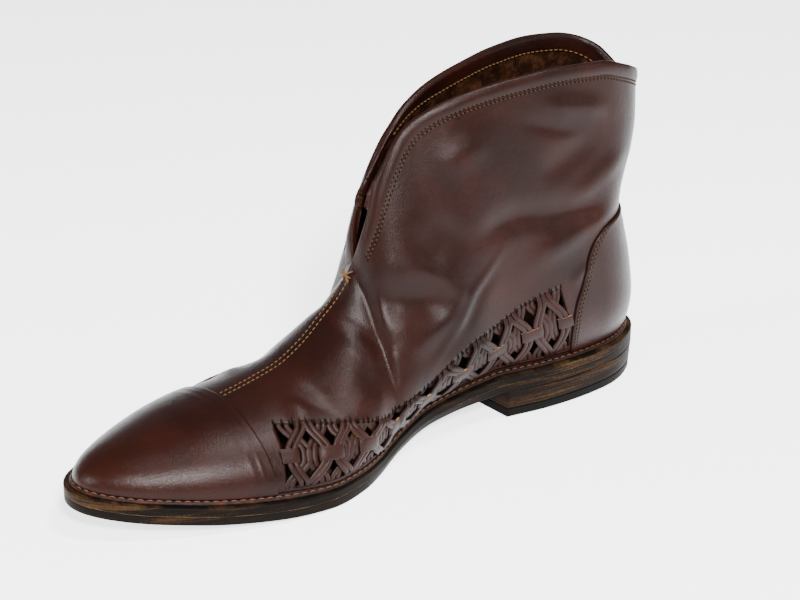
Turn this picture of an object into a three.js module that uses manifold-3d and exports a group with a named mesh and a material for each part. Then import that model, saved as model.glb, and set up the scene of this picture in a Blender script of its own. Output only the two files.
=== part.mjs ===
// Leather ankle boot for the right foot: a slit front, a toe cap, and woven windows along both sides.
// Millimetres. The toe points to -Y, the medial side is +X, and +Z is up.
// Stations are measured forward from the back of the outsole, as shares of its length.
import * as THREE from 'three';
import { mergeVertices } from 'three/addons/utils/BufferGeometryUtils.js';
import Module from 'manifold-3d';

const wasm = await Module();
wasm.setup();

// Driving sizes of the sole
const soleLength = 288;
const ballWidth = 90;
const toeSwing = 6.2; // how far the toe tip lies to the lateral side of the heel's middle line
const toeSpring = 10.6;
const heelLength = 89.4; // from the heel's back to its breast
const topPieceThickness = 4;
const heelStackThickness = 7.7;
const outsoleThickness = 3.8;
const midsoleThickness = 3.3;
const waistUndercut = 1.6; // how far the outsole's lower edge draws in at the waist
const clearance = 0.3; // between pieces that meet

// Driving sizes of the upper
const wall = 2;
const flangeSetback = 0.9; // bare strip of midsole outside the turned-out margin
const insoleThickness = 2.4;
const insoleClearance = 0.8;
const insoleBevel = 1.8;
const legHeight = 131; // highest point of the collar above the feather line at the heel
const instepRise = 69.2; // the slit's lower end above the feather line beside it
const slitStation = 0.5375;
const collarWidth = 49.6;
const swellRise = 25; // height over which the body swells out from the feather line

// Driving sizes of the overlays
const overlayThickness = 1.1;
const hemThickness = 0.8;
const hemWidth = 6;
const backStayWidth = 18;
const capStation = 0.764;

// Driving sizes of the woven windows
const windowSill = 1.6; // leather left between the feather line and the window
const tiePeriod = 19.1;
const firstTie = 60.5; // the rearmost tie, forward of the heel's back
const tieCount = 9; // the foremost tie is cut in half by the window's front edge
const strandThickness = 1.3;
const selvedgeWidth = 2;
const tieThickness = 1.1;
const panelClearance = 0.5; // round the curved edge of a window

const clamp01 = (t) => Math.min(Math.max(t, 0), 1);
const last = (list) => list[list.length - 1];
const lerp = (a, b, t) => a + (b - a) * t;
const smoothstep = (a, b, t) => {
  const k = clamp01((t - a) / (b - a));
  return k * k * (3 - 2 * k);
};

// Sweep runs from 0 at the heel's back to 1 at the toe tip, closer together at both round ends.
const stationOfSweep = (sweep) => (1 - Math.cos(Math.PI * sweep)) / 2;
const sweepOfStation = (station) => Math.acos(1 - 2 * clamp01(station)) / Math.PI;

// A curve through the rows of a table that doesn't overshoot between them.
function curveThrough(xs, ys) {
  const last = xs.length - 1;
  const step = xs.slice(1).map((x, i) => x - xs[i]);
  const rate = step.map((h, i) => (ys[i + 1] - ys[i]) / h);
  const slope = xs.map((_, i) => {
    if (i === 0) return rate[0];
    if (i === last) return rate[last - 1];
    if (rate[i - 1] * rate[i] <= 0) return 0;
    const before = 2 * step[i] + step[i - 1];
    const after = step[i] + 2 * step[i - 1];
    return (before + after) / (before / rate[i - 1] + after / rate[i]);
  });
  return (value) => {
    const x = Math.min(Math.max(value, xs[0]), xs[last]);
    let i = 0;
    while (i < last - 1 && x > xs[i + 1]) i += 1;
    const t = (x - xs[i]) / step[i];
    const a = (1 + 2 * t) * (1 - t) ** 2;
    const b = t * (1 - t) ** 2 * step[i];
    const c = t * t * (3 - 2 * t);
    const d = t * t * (t - 1) * step[i];
    return a * ys[i] + b * slope[i] + c * ys[i + 1] + d * slope[i + 1];
  };
}

// A table's first column is what the others are looked up by.
function table(columns, rows) {
  const result = {};
  columns.slice(1).forEach((name, i) => {
    result[name] = curveThrough(rows.map((row) => row[0]), rows.map((row) => row[i + 1]));
  });
  return result;
}

// Half-widths of the outsole, as shares of the ball width and of the round end that both tips share.
const plan = table(['station', 'medial', 'lateral'], [
  [0.00, 1.080, 1.177],
  [0.03, 1.049, 1.143],
  [0.08, 1.003, 1.106],
  [0.15, 0.871, 0.977],
  [0.24, 0.707, 0.852],
  [0.34, 0.532, 0.766],
  [0.44, 0.483, 0.743],
  [0.54, 0.662, 0.811],
  [0.62, 0.923, 0.942],
  [0.69, 1.077, 1.096],
  [0.76, 1.122, 1.201],
  [0.84, 1.105, 1.230],
  [0.91, 1.059, 1.185],
  [0.96, 1.051, 1.123],
  [1.00, 1.086, 1.102],
]);

// Height of the sole's underside: the heel's share and the toe spring's share.
const underside = table(['station', 'heel', 'toe'], [
  [0.000, 1.00, 0.00],
  [0.315, 1.00, 0.00],
  [0.345, 0.93, 0.00],
  [0.380, 0.84, 0.00],
  [0.450, 0.60, 0.00],
  [0.520, 0.30, 0.00],
  [0.575, 0.00, 0.00],
  [0.665, 0.00, 0.00],
  [0.720, 0.00, 0.06],
  [0.800, 0.00, 0.22],
  [0.920, 0.00, 0.62],
  [1.000, 0.00, 1.00],
]);

// Distance from the sole's edge in to the feather line, as shares of the ball width.
const margin = table(['station', 'medial', 'lateral'], [
  [0.00, 0.051, 0.051],
  [0.30, 0.051, 0.047],
  [0.38, 0.044, 0.043],
  [0.46, 0.027, 0.040],
  [0.55, 0.020, 0.041],
  [0.65, 0.022, 0.042],
  [0.70, 0.031, 0.045],
  [0.76, 0.047, 0.048],
  [1.00, 0.051, 0.051],
]);

// Swell of the body beyond the feather line, as shares of the ball width.
const swell = table(['station', 'medial', 'lateral'], [
  [0.00, 0.044, 0.033],
  [0.24, 0.067, 0.033],
  [0.34, 0.111, 0.033],
  [0.42, 0.150, 0.038],
  [0.50, 0.133, 0.038],
  [0.58, 0.083, 0.029],
  [0.65, 0.038, 0.018],
  [0.75, 0.016, 0.011],
  [1.00, 0.004, 0.004],
]);

// Fullness of the cross-section towards the ridge: 2 is an ellipse, 1 is a wedge.
const fullness = table(['station', 'power'], [
  [0.00, 2.00],
  [0.35, 1.70],
  [0.46, 1.25],
  [0.53, 1.12],
  [0.57, 1.42],
  [0.63, 1.65],
  [0.72, 1.75],
  [0.80, 1.90],
  [1.00, 1.90],
]);

// The heel and leg, by height above the heel's feather line as a share of the leg height:
// the back profile forward of the outsole's back as a share of the length, and as shares of the
// ball width the depth of the back's rounding and the half-width.
const leg = table(['height', 'back', 'rounding', 'half'], [
  [-0.03, 0.0167, 0.378, 0.292],
  [0.05, 0.0181, 0.378, 0.318],
  [0.14, 0.0222, 0.376, 0.335],
  [0.23, 0.0292, 0.372, 0.340],
  [0.32, 0.0382, 0.368, 0.343],
  [0.40, 0.0493, 0.354, 0.344],
  [0.46, 0.0563, 0.344, 0.341],
  [0.52, 0.0535, 0.334, 0.337],
  [0.60, 0.0431, 0.332, 0.333],
  [0.67, 0.0333, 0.332, 0.333],
  [0.76, 0.0278, 0.336, 0.335],
  [0.90, 0.0292, 0.362, 0.338],
  [1.05, 0.0312, 0.378, 0.340],
]);

// The ridge from the slit's lower end to the toe, above the feather line as shares of the instep rise.
const ridge = table(['station', 'rise'], [
  [0.5375, 1.000],
  [0.557, 0.893],
  [0.594, 0.740],
  [0.628, 0.619],
  [0.670, 0.520],
  [0.715, 0.460],
  [0.762, 0.408],
  [0.820, 0.350],
  [0.870, 0.280],
  [0.920, 0.205],
  [0.960, 0.150],
  [1.000, 0.085],
]);

// The ridge carried on above the slit as the front that the leg closes towards,
// as shares of the height from the slit's lower end to the collar's highest point.
const legFront = table(['station', 'rise'], [
  [0.000, 3.03],
  [0.150, 2.20],
  [0.290, 1.415],
  [0.390, 1.070],
  [0.445, 0.862],
  [0.480, 0.724],
  [0.503, 0.572],
  [0.519, 0.407],
  [0.533, 0.200],
  [0.5375, 0.000],
]);

// The top edge from the back, round the collar and down the slit: station, heights as in the
// table above, and half-opening as a share of half the collar's width.
const topEdgeRows = [
  [0.0292, 0.811, 0.811, 0.000],
  [0.0340, 0.827, 0.900, 0.403],
  [0.0520, 0.862, 0.955, 0.706],
  [0.0920, 0.926, 0.992, 0.911],
  [0.1500, 0.989, 1.000, 1.000],
  [0.2200, 0.996, 0.989, 0.903],
  [0.2900, 0.968, 0.962, 0.718],
  [0.3650, 0.918, 0.913, 0.508],
  [0.4250, 0.841, 0.827, 0.323],
  [0.4630, 0.732, 0.722, 0.194],
  [0.4930, 0.556, 0.556, 0.173],
  [0.5110, 0.404, 0.404, 0.169],
  [0.5240, 0.239, 0.239, 0.145],
  [0.5320, 0.114, 0.114, 0.089],
  [0.5375, 0.000, 0.000, 0.000],
];

// Ribs run up the body from the feather line: the sweep of their feet, and the station of their tops
// on the ridge.
const slitRib = 0.56;
const windowRearRib = 0.262;
const windowFrontRib = 0.72;
const capRib = 0.735;
const noseTop = 0.9;
const ribFeet = table(['rib', 'sweep'], [
  [0.00, 0.000],
  [0.06, 0.095],
  [0.12, 0.177],
  [0.18, 0.235],
  [windowRearRib, 0.290],
  [0.35, 0.362],
  [0.45, 0.436],
  [slitRib, 0.513],
  [0.62, 0.564],
  [0.68, 0.624],
  [windowFrontRib, 0.672],
  [capRib, sweepOfStation(capStation)],
  [0.80, 0.733],
  [0.87, 0.800],
  [0.94, 0.884],
  [1.00, 1.000],
]);
const ribTops = table(['rib', 'station'], [
  [slitRib, slitStation],
  [0.62, 0.585],
  [0.68, 0.655],
  [windowFrontRib, 0.727],
  [capRib, capStation],
  [0.80, 0.805],
  [0.87, 0.845],
  [0.94, 0.880],
  [1.00, noseTop],
]);

// Height of the window's upper edge above the feather line, as shares of the instep rise.
const windowHeight = table(['station', 'medial', 'lateral'], [
  [0.19, 0.510, 0.510],
  [0.26, 0.450, 0.450],
  [0.32, 0.375, 0.390],
  [0.37, 0.345, 0.360],
  [0.41, 0.300, 0.340],
  [0.46, 0.225, 0.325],
  [0.52, 0.200, 0.315],
  [0.57, 0.230, 0.310],
  [0.64, 0.290, 0.310],
  [0.70, 0.318, 0.318],
  [0.76, 0.330, 0.330],
]);

// The counter's front edge and top seen from the side: forward of the heel's back as a share of the
// sole's length, and above the heel's feather line as a share of the leg height.
const counterEdge = [
  [0.1910, -0.01],
  [0.1958, 0.067],
  [0.1896, 0.122],
  [0.1826, 0.189],
  [0.1667, 0.260],
  [0.1597, 0.313],
  [0.1372, 0.424],
  [0.0625, 0.464],
  [0.0300, 0.472],
];
const counterFrontRib = 0.257;
const stayGap = 0.012; // between the counter's top and the stay's foot, as a share of the leg height
const stayRound = 2; // how much the stay's lower corners are cut back
const stayRibs = 5; // the stay lies within this many of the wall's first ribs

// Places along the outsole's two sides
const sideName = (side) => (side > 0 ? 'medial' : 'lateral');
const heelHeight = topPieceThickness + heelStackThickness + 2 * clearance;
const soleThickness = outsoleThickness + clearance + midsoleThickness;
const centreLine = (station) => -toeSwing * clamp01((station - 0.2) / 0.8) ** 1.5;
const underHeight = (station) => heelHeight * underside.heel(station) + toeSpring * underside.toe(station);
const soleTop = (station) => underHeight(station) + soleThickness;
const featherHeight = (station) => soleTop(station) + clearance + wall;

function edgeAt(station, side) {
  const u = clamp01(station);
  const half = plan[sideName(side)](u) * Math.sqrt(u * (1 - u)) * ballWidth;
  return new THREE.Vector2(centreLine(u) + side * half, u * soleLength);
}

// The outsole's edge moved in by a distance; y is measured forward here.
function insetEdge(sweep, side, distance) {
  const here = edgeAt(stationOfSweep(sweep), side);
  if (sweep <= 0) return new THREE.Vector2(centreLine(0), distance);
  if (sweep >= 1) return new THREE.Vector2(centreLine(1), soleLength - distance);
  const small = 0.001;
  const along = edgeAt(stationOfSweep(Math.min(sweep + small, 1)), side);
  along.sub(edgeAt(stationOfSweep(Math.max(sweep - small, 0)), side)).normalize();
  return here.add(new THREE.Vector2(-along.y, along.x).multiplyScalar(side * distance));
}

const marginAt = (sweep, side) => margin[sideName(side)](stationOfSweep(sweep)) * ballWidth;
const featherAt = (sweep, side) => insetEdge(sweep, side, marginAt(sweep, side));

// Half-width of the feather line at a station, read from the moved edge.
const featherSamples = 160;
const featherHalf = {};
for (const side of [1, -1]) {
  const points = [];
  for (let i = 0; i <= featherSamples; i += 1) points.push(featherAt(i / featherSamples, side));
  const half = (point) => side * (point.x - centreLine(point.y / soleLength));
  featherHalf[side] = (station) => {
    const forward = station * soleLength;
    if (forward <= points[0].y || forward >= points[featherSamples].y) return 0;
    let i = 0;
    while (i < featherSamples - 1 && forward > points[i + 1].y) i += 1;
    const t = (forward - points[i].y) / (points[i + 1].y - points[i].y);
    return Math.max(lerp(half(points[i]), half(points[i + 1]), t), 0);
  };
}

// The front and ridge of the body, and its half-width at a station and a height
const seat = featherHeight(0);
const slitBottom = featherHeight(slitStation) + instepRise;
const collarTop = seat + legHeight;
const toeTip = 1 - margin.medial(1) * ballWidth / soleLength;
const noseStart = 0.91;

function frontHeight(station) {
  if (station < slitStation) return lerp(slitBottom, collarTop, legFront.rise(station));
  const end = clamp01((station - noseStart) / (toeTip - noseStart));
  return featherHeight(station) + ridge.rise(station) * instepRise * Math.sqrt(1 - end ** 3);
}

const legShare = (height) => (height - seat) / legHeight;

function bodyHalf(station, height, side) {
  const up = legShare(height);
  const forefoot = smoothstep(0.10, 0.27, station);
  const foot = (s) => featherHalf[s](station) + swell[sideName(s)](station) * ballWidth;
  const own = lerp(leg.half(up) * ballWidth, foot(side), forefoot);
  const mean = lerp(leg.half(up) * ballWidth, (foot(1) + foot(-1)) / 2, forefoot);
  const even = smoothstep(0.10, 0.56, up);
  const half = lerp(own, (own + mean) / 2, even);
  const behind = (station - leg.back(up)) * soleLength / (leg.rounding(up) * ballWidth);
  const back = Math.sqrt(1 - (1 - clamp01(behind)) ** 2);
  const feather = featherHeight(station);
  const share = clamp01((height - feather) / Math.max(frontHeight(station) - feather, 1e-6));
  const power = fullness.power(station);
  return half * back * (1 - share ** power) ** (1 / power);
}

// The top edge, looked up by its length from the back
const topEdge = {};
{
  const span = collarTop - slitBottom;
  const lengths = [0];
  for (let i = 1; i < topEdgeRows.length; i += 1) {
    const [a, b] = [topEdgeRows[i - 1], topEdgeRows[i]];
    lengths.push(lengths[i - 1] + Math.hypot((b[0] - a[0]) * soleLength, (b[1] - a[1]) * span,
      (b[3] - a[3]) * collarWidth / 2));
  }
  const shares = lengths.map((length) => length / lengths[lengths.length - 1]);
  const column = (i, scale, base) => curveThrough(shares, topEdgeRows.map((row) => base + row[i] * scale));
  topEdge.station = column(0, 1, 0);
  topEdge[1] = column(1, span, slitBottom);
  topEdge[-1] = column(2, span, slitBottom);
  topEdge.half = column(3, collarWidth / 2, 0);
}

// The two ends of a rib
const ribs = new Map();
function ribAt(side, rib) {
  const key = `${side} ${rib.toFixed(6)}`;
  if (ribs.has(key)) return ribs.get(key);
  const sweep = ribFeet.sweep(rib);
  const foot = featherAt(sweep, side);
  const footStation = foot.y / soleLength;
  const result = { sweep, footStation, footHeight: featherHeight(footStation) };
  result.footHalf = Math.max(side * (foot.x - centreLine(footStation)), 0);
  if (rib <= slitRib) {
    result.topStation = topEdge.station(rib / slitRib);
    result.topHeight = topEdge[side](rib / slitRib);
    result.topHalf = topEdge.half(rib / slitRib);
  } else {
    result.topStation = ribTops.station(rib);
    result.topHeight = frontHeight(result.topStation);
    result.topHalf = 0;
  }
  ribs.set(key, result);
  return result;
}

// A point of the outside of the upper: rib 0 to 1 from the heel's back to the toe tip,
// up 0 to 1 from the feather line to the top edge or the ridge.
function bodyPoint(side, rib, up) {
  const { footStation, footHeight, footHalf, topStation, topHeight, topHalf } = ribAt(side, rib);
  const arched = smoothstep(0.18, 0.5, rib);
  let height = footHeight + (topHeight - footHeight) * lerp(up, Math.sin(up * Math.PI / 2), arched);
  const rise = (height - footHeight) / Math.max(topHeight - footHeight, 1e-6);
  const straightBack = lerp(leg.back(legShare(footHeight)), leg.back(legShare(topHeight)), rise);
  const bow = (leg.back(legShare(height)) - straightBack) * (1 - smoothstep(0, 0.45, rib));
  let station = lerp(footStation, topStation, rise) + bow;
  const footBody = bodyHalf(footStation, footHeight, side);
  // Round the nose the ribs fan out, so the height is looked up from a place in plan.
  const nose = smoothstep(capRib, 1, rib);
  if (nose > 0) {
    const fanned = rib < 1 ? footBody * Math.cos(up * Math.PI / 2) : 0;
    const reach = lerp(bodyHalf(station, height, side), fanned, nose);
    station = lerp(station, lerp(footStation, topStation, up * up), nose);
    const feather = featherHeight(station);
    const power = fullness.power(station);
    const share = (1 - clamp01(reach / bodyHalf(station, feather, side)) ** power) ** (1 / power);
    height = lerp(feather, frontHeight(station), share);
  }
  const low = (at) => clamp01(1 - (at - footHeight) / swellRise) ** 2;
  const footMiss = footHalf - footBody;
  const topMiss = topHalf - bodyHalf(topStation, topHeight, side) - footMiss * low(topHeight);
  const half = bodyHalf(station, height, side) + footMiss * low(height) + topMiss * up ** 5;
  const onCentre = rib <= 0 || rib >= 1 || (up >= 1 && rib >= slitRib);
  const x = centreLine(station) + (onCentre ? 0 : side * Math.max(half, 0));
  return new THREE.Vector3(x, -station * soleLength, height);
}

function bodyNormal(side, rib, up) {
  const step = 0.004;
  const between = (a, b) => bodyPoint(side, ...b).sub(bodyPoint(side, ...a));
  const alongRib = between([rib, Math.max(up - step, 0)], [rib, Math.min(up + step, 1)]);
  if (rib <= 0 || rib >= 1) {
    const turn = rib <= 0 ? 1 : -1;
    return new THREE.Vector3(0, alongRib.z, -alongRib.y).multiplyScalar(turn).normalize();
  }
  const across = between([Math.max(rib - step, 0), up], [Math.min(rib + step, 1), up]);
  if (up >= 1 && rib >= slitRib) return new THREE.Vector3(0, across.z, -across.y).normalize();
  return across.cross(alongRib).multiplyScalar(-side).normalize();
}

const offsetPoint = (side, rib, up, out) => (
  bodyPoint(side, rib, up).addScaledVector(bodyNormal(side, rib, up), out)
);

// How far up a rib its height above the feather line is reached.
function upAtHeight(side, rib, above) {
  let [low, high] = [0, 1];
  const target = ribAt(side, rib).footHeight + above;
  for (let i = 0; i < 24; i += 1) {
    const middle = (low + high) / 2;
    if (bodyPoint(side, rib, middle).z < target) low = middle;
    else high = middle;
  }
  return (low + high) / 2;
}

const windowTopAt = (side, rib) => (
  windowHeight[sideName(side)](ribAt(side, rib).footStation) * instepRise
);

// Closed solids from two matching sheets of points: the cells' outer and inner corners, with a rim
// along every edge that only one cell has.
function shell(cells) {
  const outer = [];
  const inner = [];
  const index = new Map();
  const place = ([out, into]) => {
    const key = out.toArray().map((c) => Math.round(c * 1000)).join(' ');
    if (!index.has(key)) {
      index.set(key, outer.length);
      outer.push(out);
      inner.push(into);
    }
    return index.get(key);
  };
  const faces = [];
  for (const cell of cells) {
    const corners = cell.map(place);
    const distinct = corners.filter((c, i) => c !== corners[(i + 1) % corners.length]);
    for (let i = 2; i < distinct.length; i += 1) faces.push([distinct[0], distinct[i - 1], distinct[i]]);
  }
  const edges = new Set(faces.flatMap(([a, b, c]) => [`${a} ${b}`, `${b} ${c}`, `${c} ${a}`]));
  const size = outer.length;
  const triangles = faces.flatMap(([a, b, c]) => [[a, b, c], [a + size, c + size, b + size]]);
  for (const edge of edges) {
    const [a, b] = edge.split(' ').map(Number);
    if (!edges.has(`${b} ${a}`)) triangles.push([b, a, a + size], [b, a + size, b + size]);
  }
  return geometryOf([...outer, ...inner], triangles);
}

function geometryOf(points, triangles) {
  const geometry = new THREE.BufferGeometry();
  const positions = points.flatMap((p) => p.toArray());
  geometry.setAttribute('position', new THREE.Float32BufferAttribute(positions, 3));
  geometry.setIndex(triangles.flat());
  return geometry;
}

// The cells between lines of corners; each line is an array of [outer, inner] pairs.
function cellsBetween(lines, side, keep = () => true) {
  const cells = [];
  for (let i = 0; i + 1 < lines.length; i += 1) {
    for (let j = 0; j + 1 < lines[i].length; j += 1) {
      if (keep(i, j)) {
        const cell = [lines[i][j], lines[i + 1][j], lines[i + 1][j + 1], lines[i][j + 1]];
        cells.push(side < 0 ? cell : cell.reverse());
      }
    }
  }
  return cells;
}

const spread = (from, to, count) => Array.from({ length: count + 1 }, (_, i) => lerp(from, to, i / count));

// Sections shared by the sole and the upper, from the heel's back to the toe tip
const upperRibs = [
  0, 0.03, 0.06, 0.095, 0.13, 0.17, 0.215, windowRearRib, 0.31, 0.355, 0.4, 0.44, 0.475, 0.505, 0.535,
  slitRib, 0.59, 0.62, 0.65, 0.685, windowFrontRib, capRib, 0.785, 0.835, 0.885, 0.93, 0.97, 1,
];

// Slabs of the sole follow its outline through a list of sweeps.
function slab(sweeps, bottomInset, topInset, bottomAt, topAt) {
  const lines = sweeps.map((sweep) => {
    const corner = (side, inset, heightAt) => {
      const p = insetEdge(sweep, side, inset(sweep, side));
      return new THREE.Vector3(p.x, -p.y, heightAt(p.y / soleLength));
    };
    return [1, -1].map((side) => [corner(side, topInset, topAt), corner(side, bottomInset, bottomAt)]);
  });
  return shell(cellsBetween(lines, 1));
}

const none = () => 0;
const soleSweeps = upperRibs.map((rib) => ribFeet.sweep(rib));

function outsole() {
  const undercut = (sweep, side) => {
    const station = stationOfSweep(sweep);
    const waist = smoothstep(0.36, 0.5, station) * (1 - smoothstep(0.6, 0.72, station));
    return waist * waistUndercut * (side > 0 ? 1 : 0.5);
  };
  return slab(soleSweeps, undercut, none, underHeight, (s) => underHeight(s) + outsoleThickness);
}

function midsole() {
  return slab(soleSweeps, none, none, (s) => soleTop(s) - midsoleThickness, soleTop);
}

function heelBlock(bottom, top, bottomInset, topInset) {
  const breast = sweepOfStation(heelLength / soleLength);
  return slab([...soleSweeps.filter((s) => s < breast - 0.01), breast], () => bottomInset, () => topInset, () => bottom, () => top);
}

const heelTaper = 0.6;
const heelTopPiece = () => heelBlock(0, topPieceThickness, heelTaper * 1.3, heelTaper);
const heelStack = () => (
  heelBlock(topPieceThickness + clearance, heelHeight - clearance, heelTaper, 0)
);

function insole() {
  const inset = (sweep, side) => marginAt(sweep, side) + wall + insoleClearance;
  const topInset = (sweep, side) => inset(sweep, side) + insoleBevel;
  const bottom = (s) => soleTop(s) + clearance;
  return slab(soleSweeps, inset, topInset, bottom, (s) => bottom(s) + insoleThickness);
}

// The upper: a turned-out flange, then the wall, with the two windows left out.
const bandRows = 2;
const noseRow = 0.35;
const counterRow = 0.335;
const bodyRows = [0.11, 0.22, counterRow, 0.46, 0.6, 0.74, 0.87, 1];

// How far up a rib each row of the wall lies, from the window's sill to the top edge. In front of the
// cap's seam the second row runs on as the window's upper edge would, to the given share at the tip.
function rowsAt(side, rib) {
  const windowRib = Math.min(rib, capRib);
  const nose = smoothstep(capRib, 1, rib);
  const sill = upAtHeight(side, rib, windowSill);
  const windowTop = lerp(upAtHeight(side, windowRib, windowTopAt(side, windowRib)), noseRow, nose);
  return [...spread(sill, windowTop, bandRows), ...bodyRows.map((t) => lerp(windowTop, 1, t))];
}

function upperLine(side, rib) {
  const { sweep } = ribAt(side, rib);
  const level = (inset, lift) => {
    const p = insetEdge(sweep, side, inset);
    return new THREE.Vector3(p.x, -p.y, soleTop(p.y / soleLength) + clearance + lift);
  };
  const edgeInset = Math.min(flangeSetback, marginAt(sweep, side) * 0.5);
  const line = [
    [level(edgeInset, wall), level(edgeInset, 0)],
    [bodyPoint(side, rib, 0), level(marginAt(sweep, side) + wall, 0)],
  ];
  rowsAt(side, rib).forEach((up) => line.push([bodyPoint(side, rib, up), offsetPoint(side, rib, up, -wall)]));
  return line;
}

function upper() {
  const rear = upperRibs.indexOf(windowRearRib);
  const front = upperRibs.indexOf(windowFrontRib);
  const outsideWindow = (i, j) => !(i >= rear && i < front && j >= 2 && j < 2 + bandRows);
  return shell([1, -1].flatMap((side) => (
    cellsBetween(upperRibs.map((rib) => upperLine(side, rib)), side, outsideWindow)
  )));
}

// Overlays lie between two larger forms of the upper's own outside, on the wall's own rows. They start
// as far above the feather line as the windows do.
const overlayPair = (side, rib, up, thickness) => [
  offsetPoint(side, rib, up, clearance + thickness), offsetPoint(side, rib, up, clearance),
];
const overlayLine = (side, rib, thickness) => (
  rowsAt(side, rib).map((up) => overlayPair(side, rib, up, thickness))
);

const toeCap = () => shell([1, -1].flatMap((side) => (
  cellsBetween(upperRibs.filter((rib) => rib >= capRib).map((rib) => (
    overlayLine(side, rib, overlayThickness)
  )), side)
)));

function solidOf(geometry) {
  const mesh = new wasm.Mesh({
    numProp: 3,
    vertProperties: new Float32Array(geometry.attributes.position.array),
    triVerts: new Uint32Array(geometry.index.array),
  });
  mesh.merge();
  return new wasm.Manifold(mesh);
}

function geometryOfSolid(solid) {
  const mesh = solid.getMesh();
  const geometry = new THREE.BufferGeometry();
  geometry.setAttribute('position', new THREE.BufferAttribute(mesh.vertProperties, 3));
  geometry.setIndex(new THREE.BufferAttribute(mesh.triVerts, 1));
  return geometry;
}

// An overlay follows the wall's facets and is cut from them by an outline seen along one axis:
// the outline's own two axes and the axis that it is seen along are given.
function cutOverlay(cover, outline, across, up, along) {
  const cutter = new THREE.ExtrudeGeometry(new THREE.Shape(outline), { depth: 2 * soleLength, bevelEnabled: false });
  cutter.translate(0, 0, -soleLength);
  cutter.applyMatrix4(new THREE.Matrix4().makeBasis(across, up, along));
  cutter.deleteAttribute('normal');
  cutter.deleteAttribute('uv');
  return geometryOfSolid(solidOf(cover).intersect(solidOf(mergeVertices(cutter))));
}

const axisX = new THREE.Vector3(1, 0, 0);
const axisY = new THREE.Vector3(0, 1, 0);
const axisZ = new THREE.Vector3(0, 0, 1);

function heelCounter() {
  const ribsOver = [...upperRibs.filter((rib) => rib < counterFrontRib), counterFrontRib];
  const cover = shell([1, -1].flatMap((side) => cellsBetween(ribsOver.map((rib) => (
    overlayLine(side, rib, overlayThickness).slice(0, -2)
  )), side)));
  const outline = counterEdge.map(([station, height]) => (
    new THREE.Vector2(-station * soleLength, seat + height * legHeight)
  ));
  outline.push(new THREE.Vector2(soleLength, last(outline).y), new THREE.Vector2(soleLength, outline[0].y));
  return cutOverlay(cover, outline, axisY, axisZ, axisX);
}

// The hem's lower edge keeps the hem's width from the top edge.
const edgeSamples = [1, -1].reduce((all, side) => {
  all[side] = spread(0, slitRib, 120).map((rib) => bodyPoint(side, rib, 1));
  return all;
}, {});

function hemFoot(side, rib, width) {
  const near = (up) => {
    const p = bodyPoint(side, rib, up);
    return Math.min(...edgeSamples[side].map((q) => q.distanceTo(p)));
  };
  let [low, high] = [0.3, 1];
  for (let i = 0; i < 18; i += 1) {
    const middle = (low + high) / 2;
    if (near(middle) > width) low = middle;
    else high = middle;
  }
  return (low + high) / 2;
}

function collarHem() {
  const hemEnd = slitRib - 0.014;
  const ribsOver = [...upperRibs.filter((rib) => rib < hemEnd), hemEnd];
  return shell([1, -1].flatMap((side) => cellsBetween(ribsOver.map((rib) => {
    const foot = hemFoot(side, rib, hemWidth);
    return [foot, (foot + 1) / 2, 1].map((up) => overlayPair(side, rib, up, hemThickness));
  }), side)));
}

function backStay() {
  const firstRow = bandRows + bodyRows.indexOf(counterRow) + 1;
  const ribsOver = upperRibs.slice(0, stayRibs);
  const cover = shell([1, -1].flatMap((side) => cellsBetween(ribsOver.map((rib) => {
    const top = hemFoot(side, rib, hemWidth + 2 * clearance);
    const rows = [...rowsAt(side, rib).slice(firstRow, -1), top];
    return rows.map((up) => overlayPair(side, rib, up, overlayThickness));
  }), side)));
  const [low, high] = [seat + (last(counterEdge)[1] + stayGap) * legHeight, collarTop];
  const half = backStayWidth / 2;
  const outline = [[-half, low + stayRound], [-half + stayRound, low], [half - stayRound, low],
    [half, low + stayRound], [half, high], [-half, high]];
  const middle = centreLine(0);
  return cutOverlay(cover, outline.map(([x, z]) => new THREE.Vector2(x + middle, z)), axisX, axisZ,
    axisY.clone().negate());
}

// The woven panel in its own measures: along is millimetres forward of the heel's back at the feather
// line, rise is 0 to 1 between the two selvedges' inner edges, and beyond that their outer edges.
function ribOfStation(station) {
  let [low, high] = [0, 1];
  for (let i = 0; i < 26; i += 1) {
    const middle = (low + high) / 2;
    if (stationOfSweep(ribFeet.sweep(middle)) < station) low = middle;
    else high = middle;
  }
  return (low + high) / 2;
}

const panelPoints = new Map();
function panelPointOnRib(side, rib, rise, out) {
  const key = [side, rib, rise, out].join(' ');
  if (!panelPoints.has(key)) {
    const [bottom, top] = [windowSill + panelClearance, windowTopAt(side, rib) - panelClearance];
    let above = lerp(bottom + selvedgeWidth, top - selvedgeWidth, rise);
    if (rise < 0) above = bottom;
    if (rise > 1) above = top;
    panelPoints.set(key, offsetPoint(side, rib, upAtHeight(side, rib, above), out));
  }
  return panelPoints.get(key);
}

// Between two ribs the panel lies on the straight facets that the window's edges have.
function panelPoint(side, along, rise, out) {
  const rib = ribOfStation(along / soleLength);
  const next = Math.max(upperRibs.findIndex((r) => r > rib), 1);
  const [before, after] = [upperRibs[next - 1], upperRibs[next]];
  const here = panelPointOnRib(side, before, rise, out).clone();
  return here.lerp(panelPointOnRib(side, after, rise, out), (rib - before) / (after - before));
}

// One half of the pattern round a tie: shares of the period forward of the tie's middle, and rises.
// The front bundle is pinched under the tie and crosses over the rear bundle, which bows round it.
const rearFoot = [0.02, 0.215];
const frontFoot = [0.29, 0.485];
const crossing = { low: [0.26, 0.11], out: [0.36, 0.24], high: [0.26, 0.37], near: [0.16, 0.24] };
const pinch = [0.03, 0.225];
const bulge = [0.265, 0.455];
const tieFoot = 0.39;
const tieEdge = 0.42;
const tieOver = strandThickness + tieThickness;

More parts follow.
